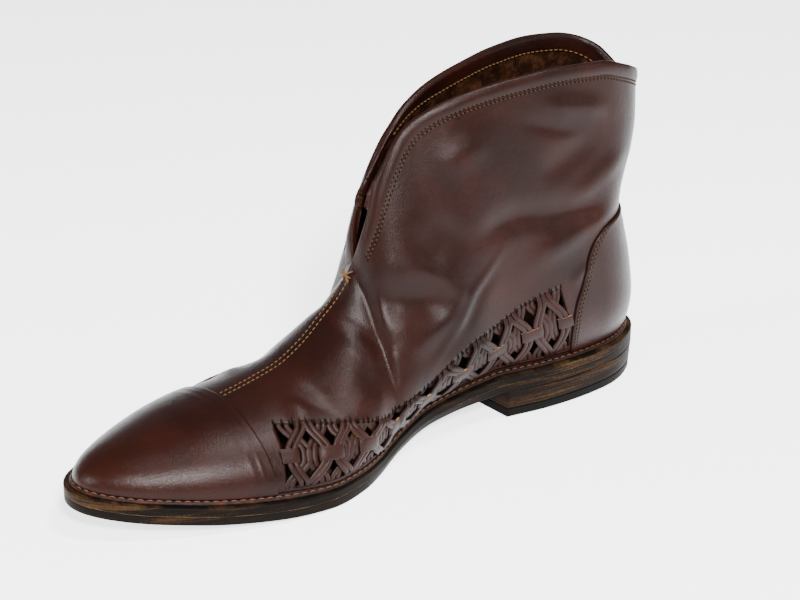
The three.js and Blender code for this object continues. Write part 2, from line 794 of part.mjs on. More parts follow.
// Each corner is a place with the height of the strip there.
const lowerHalfCells = () => {
  const flat = (x) => [x, 0, clearance];
  const raised = ([x, rise]) => [x, rise, strandThickness];
  const { low, out, high, near } = crossing;
  return [
    [flat(rearFoot[1]), flat(frontFoot[0]), raised(low)],
    [flat(rearFoot[0]), flat(rearFoot[1]), raised(low), raised(near)],
    [flat(frontFoot[0]), flat(frontFoot[1]), raised(out), raised(low)],
    [raised(low), raised(out), raised(high), raised(near)],
    [raised(near), raised(high), raised([pinch[1], tieFoot]), raised([pinch[0], tieFoot])],
    [raised(high), raised(out), [bulge[1], 0.5, clearance], [bulge[0], 0.5, clearance]],
  ];
};

const tieCells = () => {
  const rows = [[tieFoot, strandThickness], [tieEdge, tieOver]];
  const lines = [...rows, ...rows.map(([rise, over]) => [1 - rise, over]).reverse()];
  const cells = [];
  for (let i = 0; i + 1 < lines.length; i += 1) {
    const [below, above] = [lines[i], lines[i + 1]];
    cells.push([[pinch[0], ...below], [pinch[1], ...below], [pinch[1], ...above], [pinch[0], ...above]]);
  }
  return { cells, lines };
};

const mirrorRise = (cell) => cell.map(([x, rise, over]) => [x, 1 - rise, over]).reverse();
const mirrorAlong = (cell) => cell.map(([x, rise, over]) => [-x, rise, over]).reverse();

function wovenPanel(side) {
  const rearEnd = stationOfSweep(ribFeet.sweep(windowRearRib)) * soleLength;
  const first = rearEnd + panelClearance + selvedgeWidth;
  const lastTie = firstTie + (tieCount - 1) * tiePeriod;
  const last = lastTie + selvedgeWidth;
  const cells = [];
  const addCell = (toAlong) => (cell) => {
    const corners = cell.map(([x, rise, over]) => (
      [over, -strandThickness].map((out) => panelPoint(side, toAlong(x), rise, out))
    ));
    cells.push(side < 0 ? corners : corners.reverse());
  };
  // The rear half of the rearmost tie is narrowed to what the window leaves it.
  const placer = (tie) => (x) => {
    const narrow = tie === 0 && x < 0 ? (firstTie - first) / (tiePeriod / 2) : 1;
    return firstTie + (tie + x * narrow) * tiePeriod;
  };
  const lower = lowerHalfCells();
  const tie = tieCells();
  const half = [...lower, ...lower.map(mirrorRise), ...tie.cells];
  const stops = [first];
  for (let i = 0; i < tieCount; i += 1) {
    const isLast = i === tieCount - 1;
    half.map(mirrorAlong).forEach(addCell(placer(i)));
    if (!isLast) {
      half.forEach(addCell(placer(i)));
      for (let row = 0; row + 1 < tie.lines.length; row += 1) {
        const [below, above] = [tie.lines[row], tie.lines[row + 1]];
        addCell(placer(i))([[-pinch[0], ...below], [pinch[0], ...below], [pinch[0], ...above],
          [-pinch[0], ...above]]);
      }
    }
    const feet = [...rearFoot, ...frontFoot];
    stops.push(...feet.map((x) => placer(i)(-x)).reverse(), ...(isLast ? [] : feet.map(placer(i))));
  }
  stops.push(lastTie);
  // The two selvedges, and the two uprights that join them
  const asIs = addCell((along) => along);
  const block = (from, to, low, high) => asIs([[from, low, clearance], [to, low, clearance],
    [to, high, clearance], [from, high, clearance]]);
  const [rearmost, foremost] = [rearEnd + panelClearance, last];
  const all = [rearmost, ...stops, foremost];
  for (let i = 0; i + 1 < all.length; i += 1) {
    block(all[i], all[i + 1], -1, 0);
    block(all[i], all[i + 1], 1, 2);
  }
  block(rearmost, first, 0, 1);
  block(lastTie, foremost, 0, 1);
  return shell(cells);
}

// Finishes
const leather = { color: 0x4a241a, roughness: 0.38, metalness: 0 };
const darkLeather = { color: 0x3b1d15, roughness: 0.42, metalness: 0 };
const soleLeather = { color: 0x2a1a12, roughness: 0.45, metalness: 0 };
const heelLeather = { color: 0x3a2616, roughness: 0.5, metalness: 0 };
const topPieceRubber = { color: 0x14130f, roughness: 0.7, metalness: 0 };
const liningLeather = { color: 0x5b3a25, roughness: 0.8, metalness: 0 };

// The origin is under the middle of the sole's box.
const edgeX = (side) => spread(0, 1, 400).map((sweep) => edgeAt(stationOfSweep(sweep), side).x);
const middleX = (Math.max(...edgeX(1)) + Math.min(...edgeX(-1))) / 2;
const boot = new THREE.Group();
const onLast = new THREE.Group();
onLast.position.set(-middleX, soleLength / 2, 0);
boot.add(onLast);

function addPiece(name, geometry, finish) {
  const welded = mergeVertices(geometry, 1e-4);
  welded.computeVertexNormals();
  const piece = new THREE.Mesh(welded, new THREE.MeshStandardMaterial(finish));
  piece.name = name;
  onLast.add(piece);
}

addPiece('outsole', outsole(), soleLeather);
addPiece('midsole', midsole(), soleLeather);
addPiece('heel_stack', heelStack(), heelLeather);
addPiece('heel_top_piece', heelTopPiece(), topPieceRubber);
addPiece('insole', insole(), liningLeather);
addPiece('upper', upper(), leather);
addPiece('toe_cap', toeCap(), leather);
addPiece('heel_counter', heelCounter(), leather);
addPiece('back_stay', backStay(), leather);
addPiece('collar_hem', collarHem(), leather);
addPiece('woven_panel_medial', wovenPanel(1), darkLeather);
addPiece('woven_panel_lateral', wovenPanel(-1), darkLeather);

export default boot;
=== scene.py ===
# %% [markdown]
# # A brown leather ankle boot
#
# This lesson dresses a boot that was first built as plain solids. The solids fix every size. Here each of
# them gets its real surface: waxed leather with soft folds, woven strips, stitches and a stained sole edge.
# Blender works in metres. The tables below are in millimetres, or in shares of a few named sizes, so that
# they can be compared with a real boot.

import math

import bpy
import numpy as np
from mathutils import Matrix, Vector


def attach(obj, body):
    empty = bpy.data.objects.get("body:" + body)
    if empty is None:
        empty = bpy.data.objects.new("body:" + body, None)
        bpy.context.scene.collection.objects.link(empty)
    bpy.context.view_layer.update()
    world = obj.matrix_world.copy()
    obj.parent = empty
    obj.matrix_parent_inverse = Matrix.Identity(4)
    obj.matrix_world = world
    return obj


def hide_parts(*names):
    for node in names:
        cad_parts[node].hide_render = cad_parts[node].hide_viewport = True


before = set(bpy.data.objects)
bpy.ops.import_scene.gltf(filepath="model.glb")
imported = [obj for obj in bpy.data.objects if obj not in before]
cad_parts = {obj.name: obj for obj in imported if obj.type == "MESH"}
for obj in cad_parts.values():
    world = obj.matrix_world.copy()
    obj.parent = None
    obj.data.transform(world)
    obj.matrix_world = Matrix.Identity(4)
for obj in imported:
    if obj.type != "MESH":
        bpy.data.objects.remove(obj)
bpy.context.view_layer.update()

# %% [markdown]
# ## Curves through short tables
#
# A shoemaker describes a last by a few sections and lets the curve run smoothly between them. The same is
# done here: a table has one row per section, and a curve through it never overshoots between two rows.


# %% A table of sections becomes curves
def curve_through(xs, ys):
    """A smooth curve through the points that doesn't overshoot."""
    xs, ys = np.asarray(xs, float), np.asarray(ys, float)
    step = np.diff(xs)
    rate = np.diff(ys) / step
    slope = np.zeros(len(xs))
    slope[0], slope[-1] = rate[0], rate[-1]
    for i in range(1, len(xs) - 1):
        if rate[i - 1] * rate[i] > 0:
            before, after = 2 * step[i] + step[i - 1], step[i] + 2 * step[i - 1]
            slope[i] = (before + after) / (before / rate[i - 1] + after / rate[i])

    def value(x):
        x = np.clip(x, xs[0], xs[-1])
        i = np.clip(np.searchsorted(xs, x, side="right") - 1, 0, len(step) - 1)
        t = (x - xs[i]) / step[i]
        start = (1 + 2 * t) * (1 - t) ** 2 * ys[i] + t * (1 - t) ** 2 * step[i] * slope[i]
        end = t * t * (3 - 2 * t) * ys[i + 1] + t * t * (t - 1) * step[i] * slope[i + 1]
        return start + end

    return value


def table(columns, rows):
    """One curve for each column after the first."""
    rows = np.asarray(rows, float)
    return {name: curve_through(rows[:, 0], rows[:, i + 1]) for i, name in enumerate(columns[1:])}


def blend(a, b, t):
    """From a at t = 0 to b at t = 1."""
    return a + (b - a) * t


def ease(start, end, value):
    """0 before start, 1 after end, and smooth between."""
    t = np.clip((value - start) / (end - start), 0, 1)
    return t * t * (3 - 2 * t)


def rounded(t):
    """A rolled edge: 1 up to t = 0, then down a quarter circle to 0 at t = 1."""
    return np.sqrt(1 - np.clip(t, 0, 1) ** 2)


print("curves ready")

# %% [markdown]
# ## The last
#
# The last is the foot-shaped form that a boot is pulled over. Its sizes match the solids. Stations are
# measured forward from the back of the sole, as shares of its length. The toe points to -Y, and +X is the
# medial side, which faces the other foot.

# %% Named sizes in millimetres
SOLE_LENGTH = 288
BALL_WIDTH = 90
TOE_SWING = 6.2
TOE_SPRING = 10.6
HEEL_LENGTH = 89.4
TOP_PIECE = 4
HEEL_STACK = 7.7
OUTSOLE = 3.8
MIDSOLE = 3.3
CLEARANCE = 0.3
WALL = 2
LEG_HEIGHT = 131
INSTEP_RISE = 69.2
SLIT_STATION = 0.5375
COLLAR_WIDTH = 49.6
SWELL_RISE = 25
CAP_STATION = 0.764
MEDIAL, LATERAL = SIDES = (1, -1)
SIDE_NAMES = {MEDIAL: "medial", LATERAL: "lateral"}

# %% [markdown]
# ## Sections as tables
#
# Each table was measured from the photograph. PLAN is the outline of the sole, UNDERSIDE its lift over the
# waist and at the toe, and LEG the profile of the back. A changed row changes the boot only near that
# section, so a table can be corrected one place at a time.

# %% The tables of the last
PLAN = table(("station", "medial", "lateral"), [
    (0.00, 1.080, 1.177), (0.03, 1.049, 1.143), (0.08, 1.003, 1.106), (0.15, 0.871, 0.977),
    (0.24, 0.707, 0.852), (0.34, 0.532, 0.766), (0.44, 0.483, 0.743), (0.54, 0.662, 0.811),
    (0.62, 0.923, 0.942), (0.69, 1.077, 1.096), (0.76, 1.122, 1.201), (0.84, 1.105, 1.230),
    (0.91, 1.059, 1.185), (0.96, 1.051, 1.123), (1.00, 1.086, 1.102)])
UNDERSIDE = table(("station", "heel", "toe"), [
    (0.000, 1.00, 0.00), (0.315, 1.00, 0.00), (0.345, 0.93, 0.00), (0.380, 0.84, 0.00),
    (0.450, 0.60, 0.00), (0.520, 0.30, 0.00), (0.575, 0.00, 0.00), (0.665, 0.00, 0.00),
    (0.720, 0.00, 0.06), (0.800, 0.00, 0.22), (0.920, 0.00, 0.62), (1.000, 0.00, 1.00)])
MARGIN = table(("station", "medial", "lateral"), [
    (0.00, 0.051, 0.051), (0.30, 0.051, 0.047), (0.38, 0.044, 0.043), (0.46, 0.027, 0.040),
    (0.55, 0.020, 0.041), (0.65, 0.022, 0.042), (0.70, 0.031, 0.045), (0.76, 0.047, 0.048),
    (1.00, 0.051, 0.051)])
SWELL = table(("station", "medial", "lateral"), [
    (0.00, 0.044, 0.033), (0.24, 0.067, 0.033), (0.34, 0.111, 0.033), (0.42, 0.150, 0.038),
    (0.50, 0.133, 0.038), (0.58, 0.083, 0.029), (0.65, 0.038, 0.018), (0.75, 0.016, 0.011),
    (1.00, 0.004, 0.004)])
FULLNESS = table(("station", "power"), [
    (0.00, 2.00), (0.35, 1.70), (0.46, 1.25), (0.53, 1.12), (0.57, 1.42), (0.63, 1.65),
    (0.72, 1.75), (0.80, 1.90), (1.00, 1.90)])
LEG = table(("height", "back", "rounding", "half"), [
    (-0.03, 0.0167, 0.378, 0.292), (0.05, 0.0181, 0.378, 0.318), (0.14, 0.0222, 0.376, 0.335),
    (0.23, 0.0292, 0.372, 0.340), (0.32, 0.0382, 0.368, 0.343), (0.40, 0.0493, 0.354, 0.344),
    (0.46, 0.0563, 0.344, 0.341), (0.52, 0.0535, 0.334, 0.337), (0.60, 0.0431, 0.332, 0.333),
    (0.67, 0.0333, 0.332, 0.333), (0.76, 0.0278, 0.336, 0.335), (0.90, 0.0292, 0.362, 0.338),
    (1.05, 0.0312, 0.378, 0.340)])
RIDGE = table(("station", "rise"), [
    (0.5375, 1.000), (0.557, 0.893), (0.594, 0.740), (0.628, 0.619), (0.670, 0.520), (0.715, 0.460),
    (0.762, 0.408), (0.820, 0.350), (0.870, 0.280), (0.920, 0.205), (0.960, 0.150), (1.000, 0.085)])
LEG_FRONT = table(("station", "rise"), [
    (0.000, 3.03), (0.150, 2.20), (0.290, 1.415), (0.390, 1.070), (0.445, 0.862), (0.480, 0.724),
    (0.503, 0.572), (0.519, 0.407), (0.533, 0.200), (0.5375, 0.000)])
TOP_EDGE_ROWS = np.array([
    (0.0292, 0.811, 0.811, 0.000), (0.0340, 0.827, 0.900, 0.403), (0.0520, 0.862, 0.955, 0.706),
    (0.0920, 0.926, 0.992, 0.911), (0.1500, 0.989, 1.000, 1.000), (0.2200, 0.996, 0.989, 0.903),
    (0.2900, 0.968, 0.962, 0.718), (0.3650, 0.918, 0.913, 0.508), (0.4250, 0.841, 0.827, 0.323),
    (0.4630, 0.732, 0.722, 0.194), (0.4930, 0.556, 0.556, 0.173), (0.5110, 0.404, 0.404, 0.169),
    (0.5240, 0.239, 0.239, 0.145), (0.5320, 0.114, 0.114, 0.089), (0.5375, 0.000, 0.000, 0.000)])
WINDOW_HEIGHT = table(("station", "medial", "lateral"), [
    (0.19, 0.510, 0.510), (0.26, 0.450, 0.450), (0.32, 0.375, 0.390), (0.37, 0.345, 0.360),
    (0.41, 0.300, 0.340), (0.46, 0.225, 0.325), (0.52, 0.200, 0.315), (0.57, 0.230, 0.310),
    (0.64, 0.290, 0.310), (0.70, 0.318, 0.318), (0.76, 0.330, 0.330)])

# %% [markdown]
# ## Ribs of the upper
#
# The upper is described by ribs that start at the feather line. These two tables say where each rib starts and
# where it ends. One rib falls exactly on each end of the window, on the cap's seam and on the slit's end.

# %% Where the ribs of the upper stand
SLIT_RIB = 0.56
WINDOW_REAR = 0.262
WINDOW_FRONT = 0.72
CAP_RIB = 0.735
NOSE_TOP = 0.9
NOSE_START = 0.91
WINDOW_SILL = 1.6
NOSE_ROW = 0.35


def station_of_sweep(sweep):
    """Share of the length for a sweep, whose steps are fine at the heel and at the toe."""
    return (1 - np.cos(np.pi * sweep)) / 2


def sweep_of_station(station):
    return np.arccos(1 - 2 * np.clip(station, 0, 1)) / np.pi


RIB_FEET = table(("rib", "sweep"), [
    (0.00, 0.000), (0.06, 0.095), (0.12, 0.177), (0.18, 0.235), (WINDOW_REAR, 0.290), (0.35, 0.362),
    (0.45, 0.436), (SLIT_RIB, 0.513), (0.62, 0.564), (0.68, 0.624), (WINDOW_FRONT, 0.672),
    (CAP_RIB, sweep_of_station(CAP_STATION)), (0.80, 0.733), (0.87, 0.800), (0.94, 0.884), (1.00, 1.000)])
RIB_TOPS = table(("rib", "station"), [
    (SLIT_RIB, SLIT_STATION), (0.62, 0.585), (0.68, 0.655), (WINDOW_FRONT, 0.727), (CAP_RIB, CAP_STATION),
    (0.80, 0.805), (0.87, 0.845), (0.94, 0.880), (1.00, NOSE_TOP)])

# %% [markdown]
# ## Heights and edges of the sole
#
# The sole's top carries the upper. Its underside lifts over the waist and again at the toe. The feather
# line is where the wall of the upper meets its turned-out margin.


# %% The sole's edges and heights
def centre_line(station):
    """How far the middle of the sole lies to the medial side."""
    return -TOE_SWING * np.clip((station - 0.2) / 0.8, 0, 1) ** 1.5


def under_height(station):
    """Height of the outsole's underside."""
    heel = TOP_PIECE + HEEL_STACK + 2 * CLEARANCE
    return heel * UNDERSIDE["heel"](station) + TOE_SPRING * UNDERSIDE["toe"](station)


def sole_top(station):
    return under_height(station) + OUTSOLE + CLEARANCE + MIDSOLE


def feather_height(station):
    """Height of the line where the wall meets its margin."""
    return sole_top(station) + CLEARANCE + WALL


def edge_at(station, side):
    """Distance to the medial side, and forward, of the outsole's edge."""
    u = np.clip(station, 0, 1)
    half = PLAN[SIDE_NAMES[side]](u) * np.sqrt(u * (1 - u)) * BALL_WIDTH
    return np.stack([centre_line(u) + side * half, u * SOLE_LENGTH], -1)


def inset_edge(sweep, side, distance):
    """The outsole's edge moved in by a distance."""
    sweep, distance = np.broadcast_arrays(np.asarray(sweep, float), distance)
    here = edge_at(station_of_sweep(sweep), side)
    along = edge_at(station_of_sweep(np.minimum(sweep + 0.001, 1)), side)
    along = along - edge_at(station_of_sweep(np.maximum(sweep - 0.001, 0)), side)
    along /= np.linalg.norm(along, axis=-1, keepdims=True)
    inward = np.stack([-along[..., 1], along[..., 0]], -1) * side
    moved = here + inward * distance[..., None]
    tips = [(sweep <= 0, centre_line(0), distance), (sweep >= 1, centre_line(1), SOLE_LENGTH - distance)]
    for at_tip, x, forward in tips:
        moved[..., 0] = np.where(at_tip, x, moved[..., 0])
        moved[..., 1] = np.where(at_tip, forward, moved[..., 1])
    return moved


def margin_at(sweep, side):
    """How much of the sole lies outside the wall."""
    return MARGIN[SIDE_NAMES[side]](station_of_sweep(sweep)) * BALL_WIDTH


def feather_samples(side):
    sweep = np.linspace(0, 1, 161)
    line = inset_edge(sweep, side, margin_at(sweep, side))
    return line[:, 1], side * (line[:, 0] - centre_line(line[:, 1] / SOLE_LENGTH))


FEATHER = {side: feather_samples(side) for side in SIDES}


def feather_half(station, side):
    forward, half = FEATHER[side]
    inside = (station * SOLE_LENGTH > forward[0]) & (station * SOLE_LENGTH < forward[-1])
    return np.where(inside, np.maximum(np.interp(station * SOLE_LENGTH, forward, half), 0), 0)


print("sole top at the heel", round(float(sole_top(0.0)), 2), "mm")

# %% [markdown]
# ## The body of the boot
#
# Across the foot the body is a rounded arch, and up the leg it turns into a rounded tube. A rib runs up the
# body from the feather line to the ridge or to the collar's edge. Every other piece of the upper is placed
# by its rib, by how far up that rib it lies, and by how far out of the surface it stands.

# %% Sections of the body
SEAT = float(feather_height(0.0))
SLIT_BOTTOM = float(feather_height(SLIT_STATION)) + INSTEP_RISE
COLLAR_TOP = SEAT + LEG_HEIGHT
TOE_TIP = 1 - float(MARGIN["medial"](1.0)) * BALL_WIDTH / SOLE_LENGTH


def front_height(station):
    """Height of the ridge, and of the leg's front behind the slit."""
    end = np.clip((station - NOSE_START) / (TOE_TIP - NOSE_START), 0, 1)
    ridge = feather_height(station) + RIDGE["rise"](station) * INSTEP_RISE * np.sqrt(1 - end ** 3)
    leg = blend(SLIT_BOTTOM, COLLAR_TOP, LEG_FRONT["rise"](station))
    return np.where(station < SLIT_STATION, leg, ridge)


def leg_share(height):
    return (height - SEAT) / LEG_HEIGHT


def body_half(station, height, side):
    """Half-width of the body at a station and a height."""
    up = leg_share(height)
    foot = {s: feather_half(station, s) + SWELL[SIDE_NAMES[s]](station) * BALL_WIDTH for s in SIDES}
    forefoot = ease(0.10, 0.27, station)
    own = blend(LEG["half"](up) * BALL_WIDTH, foot[side], forefoot)
    mean = blend(LEG["half"](up) * BALL_WIDTH, (foot[MEDIAL] + foot[LATERAL]) / 2, forefoot)
    half = blend(own, (own + mean) / 2, ease(0.10, 0.56, up))
    behind = (station - LEG["back"](up)) * SOLE_LENGTH / (LEG["rounding"](up) * BALL_WIDTH)
    feather = feather_height(station)
    share = np.clip((height - feather) / np.maximum(front_height(station) - feather, 1e-6), 0, 1)
    power = FULLNESS["power"](station)
    return half * rounded(1 - behind) * np.maximum(1 - share ** power, 0) ** (1 / power)

# %% [markdown]
# ## From the feather line to the top edge
#
# The collar's edge sweeps up from the back, over the ankle and down to the slit. A rib joins a place on the
# feather line to a place on that edge, or to the ridge in front of the slit, and bows with the back of the leg.

# %% The top edge and the two ends of a rib
def top_edge_curves():
    span = COLLAR_TOP - SLIT_BOTTOM
    rows = TOP_EDGE_ROWS * (1, span, span, COLLAR_WIDTH / 2)
    steps = np.diff(rows[:, [0, 1, 3]], axis=0) * (SOLE_LENGTH, 1, 1)
    share = np.concatenate([[0], np.cumsum(np.linalg.norm(steps, axis=1))])
    share /= share[-1]
    return {"station": curve_through(share, rows[:, 0]), "half": curve_through(share, rows[:, 3]),
            MEDIAL: curve_through(share, SLIT_BOTTOM + rows[:, 1]),
            LATERAL: curve_through(share, SLIT_BOTTOM + rows[:, 2])}


TOP_EDGE = top_edge_curves()


def on_centre(rib, up):
    """Whether a point lies on the line that both halves share: the back, the toe's tip or the ridge."""
    return (rib <= 0) | (rib >= 1) | ((up >= 1) & (rib >= SLIT_RIB))


def body_point(side, rib, up):
    """A point of the plain surface: to the medial side, forward and up, in millimetres."""
    rib, up = np.broadcast_arrays(np.asarray(rib, float), np.asarray(up, float))
    sweep = RIB_FEET["sweep"](rib)
    foot = inset_edge(sweep, side, margin_at(sweep, side))
    foot_station = foot[..., 1] / SOLE_LENGTH
    foot_height = feather_height(foot_station)
    foot_half = np.maximum(side * (foot[..., 0] - centre_line(foot_station)), 0)
    on_leg = rib <= SLIT_RIB
    ridge_station = RIB_TOPS["station"](rib)
    leg_rib = np.clip(rib / SLIT_RIB, 0, 1)
    top_station = np.where(on_leg, TOP_EDGE["station"](leg_rib), ridge_station)
    top_height = np.where(on_leg, TOP_EDGE[side](leg_rib), front_height(ridge_station))
    top_half = np.where(on_leg, TOP_EDGE["half"](leg_rib), 0)
    arched = ease(0.18, 0.5, rib)
    climb = top_height - foot_height
    height = foot_height + climb * blend(up, np.sin(up * np.pi / 2), arched)
    rise = (height - foot_height) / np.maximum(climb, 1e-6)
    back = LEG["back"]
    straight = blend(back(leg_share(foot_height)), back(leg_share(top_height)), rise)
    bow = (back(leg_share(height)) - straight) * (1 - ease(0, 0.45, rib))
    station = blend(foot_station, top_station, rise) + bow
    foot_body = body_half(foot_station, foot_height, side)
    # Round the nose the ribs fan out, so the height is looked up from a place in plan.
    nose = ease(CAP_RIB, 1, rib)
    fanned = np.where(rib < 1, foot_body * np.cos(up * np.pi / 2), 0)
    reach = blend(body_half(station, height, side), fanned, nose)
    nose_station = blend(station, blend(foot_station, top_station, up * up), nose)
    feather = feather_height(nose_station)
    power = FULLNESS["power"](nose_station)
    widest = np.maximum(body_half(nose_station, feather, side), 1e-6)
    share = (1 - np.clip(reach / widest, 0, 1) ** power) ** (1 / power)
    height = np.where(nose > 0, blend(feather, front_height(nose_station), share), height)
    station = np.where(nose > 0, nose_station, station)

    def low(at):
        return np.clip(1 - (at - foot_height) / SWELL_RISE, 0, 1) ** 2

    foot_miss = foot_half - foot_body
    top_miss = top_half - body_half(top_station, top_height, side) - foot_miss * low(top_height)
    half = body_half(station, height, side) + foot_miss * low(height) + top_miss * up ** 5
    x = centre_line(station) + np.where(on_centre(rib, up), 0, side * np.maximum(half, 0))
    return np.stack([x, station * SOLE_LENGTH, height], -1)


def body_normal(side, rib, up):
    """The outward direction, from two short steps along the surface."""
    rib, up = np.broadcast_arrays(np.asarray(rib, float), np.asarray(up, float))
    step = 0.004
    along = body_point(side, np.minimum(rib + step, 1), up) - body_point(side, np.maximum(rib - step, 0), up)
    climb = body_point(side, rib, np.minimum(up + step, 1)) - body_point(side, rib, np.maximum(up - step, 0))
    normal = np.cross(along, climb) * side
    centred = on_centre(rib, up)
    normal[..., 0] = np.where(centred, 0, normal[..., 0])
    return normal / np.maximum(np.linalg.norm(normal, axis=-1, keepdims=True), 1e-9)


check = body_point(MEDIAL, np.array([0.3]), np.array([0.5]))[0]
print("a point half-way up the medial side:", check.round(1))

# %% [markdown]
# ## Folds
#
# Soft leather keeps the creases of lasting and of wear. Each fold below is a short path seen from the side:
# how far forward, how high, how wide and how deep. A positive depth is a ridge and a negative one a trough,
# and both fade out beyond the ends of the path. Placing the main folds one by one keeps them where a boot
# really bends, at the ankle and over the instep.

# %% The fold paths
FOLDS = {
    MEDIAL: [
        ("ankle trough", 5.5, -2.0, [(116, 86), (97, 91.5), (86, 93), (71, 91), (55, 91), (30, 86)]),
        ("counter ridge", 5.5, 1.7, [(30, 88), (52, 82), (63, 77.5), (74, 74), (86, 68)]),
        ("tongue dent", 7.5, -2.6, [(158, 70), (146, 68), (134, 67), (124, 66)]),
        ("tongue ridge", 4.4, 1.5, [(146, 82), (134, 79), (125, 74), (120, 66), (124, 58), (136, 52),
                                    (150, 46)]),
        ("long crease", 1.8, 0.75, [(93, 83), (104, 73.5), (113, 66), (119, 57), (127, 48), (137, 38)]),
        ("long crease's lee", 2.6, -0.6, [(98, 74), (108, 66), (114, 57), (121, 48)]),
        ("front swell", 6.0, 1.1, [(124, 117), (115, 121), (104, 126), (97, 128)]),
        ("hem puff", 4.2, 1.4, [(76, 139), (65, 136.5), (52, 134.5), (37, 130)]),
        ("hem valley", 3.0, -0.8, [(84, 133), (66, 127), (48, 124)]),
        ("back ridge", 5.0, 1.2, [(66, 92), (52, 98), (41, 104.5), (25, 111)]),
        ("back trough", 6.5, -1.3, [(40, 122), (50, 119), (63, 113), (78, 107)]),
        ("leg hollow", 8.0, -1.2, [(117, 100), (126, 90), (138, 82)]),
        ("window puff", 3.0, 0.8, [(60, 56), (55, 61), (49, 65)]),
        ("vamp ridge", 4.0, 1.2, [(197, 40), (199.5, 35), (203, 31)]),
        ("vamp hollow", 5.5, -1.2, [(188, 46), (187, 38), (188, 31)]),
        ("joint swell", 7.0, 0.9, [(176, 40), (172, 32), (160, 30)]),
        ("instep trough", 4.0, -0.9, [(166, 66), (160, 56), (150, 48)]),
        ("instep swell", 5.0, 0.8, [(170, 58), (160, 46)]),
    ],
    LATERAL: [
        ("ankle trough", 4.5, -1.7, [(112, 90), (98, 93), (84, 92), (66, 88), (44, 84)]),
        ("ankle ridge", 4.5, 1.3, [(112, 80), (98, 82), (82, 80), (62, 76), (44, 74)]),
        ("tongue dent", 6.0, -2.4, [(152, 70), (138, 66), (128, 63)]),
        ("tongue ridge", 3.6, 1.2, [(140, 80), (127, 74), (120, 65), (126, 56)]),
        ("front swell", 6.0, 1.0, [(122, 116), (108, 124), (92, 129)]),
        ("back trough", 6.5, -1.2, [(38, 118), (56, 113), (76, 108)]),
        ("hem puff", 4.2, 1.1, [(84, 139), (66, 138), (48, 135)]),
        ("leg hollow", 8.0, -1.0, [(118, 100), (128, 88)]),
        ("vamp hollow", 5.5, -1.1, [(190, 46), (186, 38), (184, 31)]),
        ("vamp ridge", 4.2, 1.0, [(200, 41), (201, 35), (204, 31)]),
        ("instep trough", 4.0, -0.9, [(168, 66), (158, 55), (146, 48)]),
    ],
}
CAP_CREASES = [(224.0, 0.8, 0.10), (227.5, 1.2, 0.10)]


def fold_height(side, place):
    """How far the folds lift the leather at a place, in millimetres."""
    lift = np.zeros(place.shape[:-1])
    flat = place[..., 1:3]
    for _, width, depth, path in FOLDS[side]:
        path = np.array(path, float)
        spans = np.diff(path, axis=0)
        lengths = np.linalg.norm(spans, axis=1)
        nearest, along = np.full(lift.shape, np.inf), np.zeros(lift.shape)
        for number, (a, span) in enumerate(zip(path, spans)):
            offset = flat - a
            t = np.clip((offset[..., 0] * span[0] + offset[..., 1] * span[1]) / lengths[number] ** 2, 0, 1)
            gap = (offset[..., 0] - t * span[0]) ** 2 + (offset[..., 1] - t * span[1]) ** 2
            closer = gap < nearest
            nearest = np.where(closer, gap, nearest)
            along = np.where(closer, (lengths[:number].sum() + t * lengths[number]) / lengths.sum(), along)
        fade = ease(0, 0.35, along) * (1 - ease(0.65, 1, along))
        lift += depth * (0.12 + 0.88 * fade) * np.exp(-nearest / width ** 2)
    return lift


def cap_crease(place):
    """Two faint creases that follow the cap's seam."""
    return sum(depth * np.exp(-((place[..., 1] - at) / width) ** 2) for at, width, depth in CAP_CREASES)

# %% [markdown]
# ## Layers over the folds
#
# All the layers use one function: a place on the plain body, moved out along its normal by the folds and by
# the thickness of what lies below. A layer so placed can't sink into the leather that it lies on.

# %% Points on the folded leather
MIDDLE = (edge_at(np.linspace(0, 1, 401), MEDIAL)[:, 0].max()
          + edge_at(np.linspace(0, 1, 401), LATERAL)[:, 0].min()) / 2


def to_frame(points):
    """From the last's millimetres to the frame's metres."""
    x = points[..., 0] - MIDDLE
    y = SOLE_LENGTH / 2 - points[..., 1]
    return np.stack([x, y, points[..., 2]], -1) / 1000


def half_point(side, rib, up, out):
    """A point over the folded surface of one half, in millimetres on the last."""
    place = body_point(side, rib, up)
    free = ease(0, 0.10, up) * np.where(rib < CAP_RIB, 1, 0)
    edge = np.where(rib > SLIT_RIB - 0.03, 1, 1 - 0.75 * ease(0.93, 1.0, up))
    lift = fold_height(side, place) * free * edge + cap_crease(place) * ease(0, 0.05, up)
    moved = place + body_normal(side, rib, up) * (lift + out)[..., None]
    middle = centre_line(moved[..., 1] / SOLE_LENGTH)
    beside = middle + side * np.maximum(side * (moved[..., 0] - middle), 0)
    moved[..., 0] = np.where((rib < SLIT_RIB) & (rib > 0.3), beside, moved[..., 0])
    return moved


def leather_point(side, rib, up, out=0.0):
    """A point over the folded surface. On the centre line the two halves share one point."""
    rib, up, out = np.broadcast_arrays(np.asarray(rib, float), np.asarray(up, float), np.asarray(out, float))
    moved = half_point(side, rib, up, out)
    centred = on_centre(rib, up)
    if centred.any():
        facing = half_point(-side, rib[centred], up[centred], out[centred])
        moved[centred] = (moved[centred] + facing) / 2
    return moved


print("folds:", {SIDE_NAMES[side]: len(rows) for side, rows in FOLDS.items()})

# %% [markdown]
# ## Turning points into meshes
#
# Most pieces are sheets: a grid of points with an outer and an inner layer and a rim that joins them. One
# helper makes them all, so that every piece is closed and has the same kind of edge.


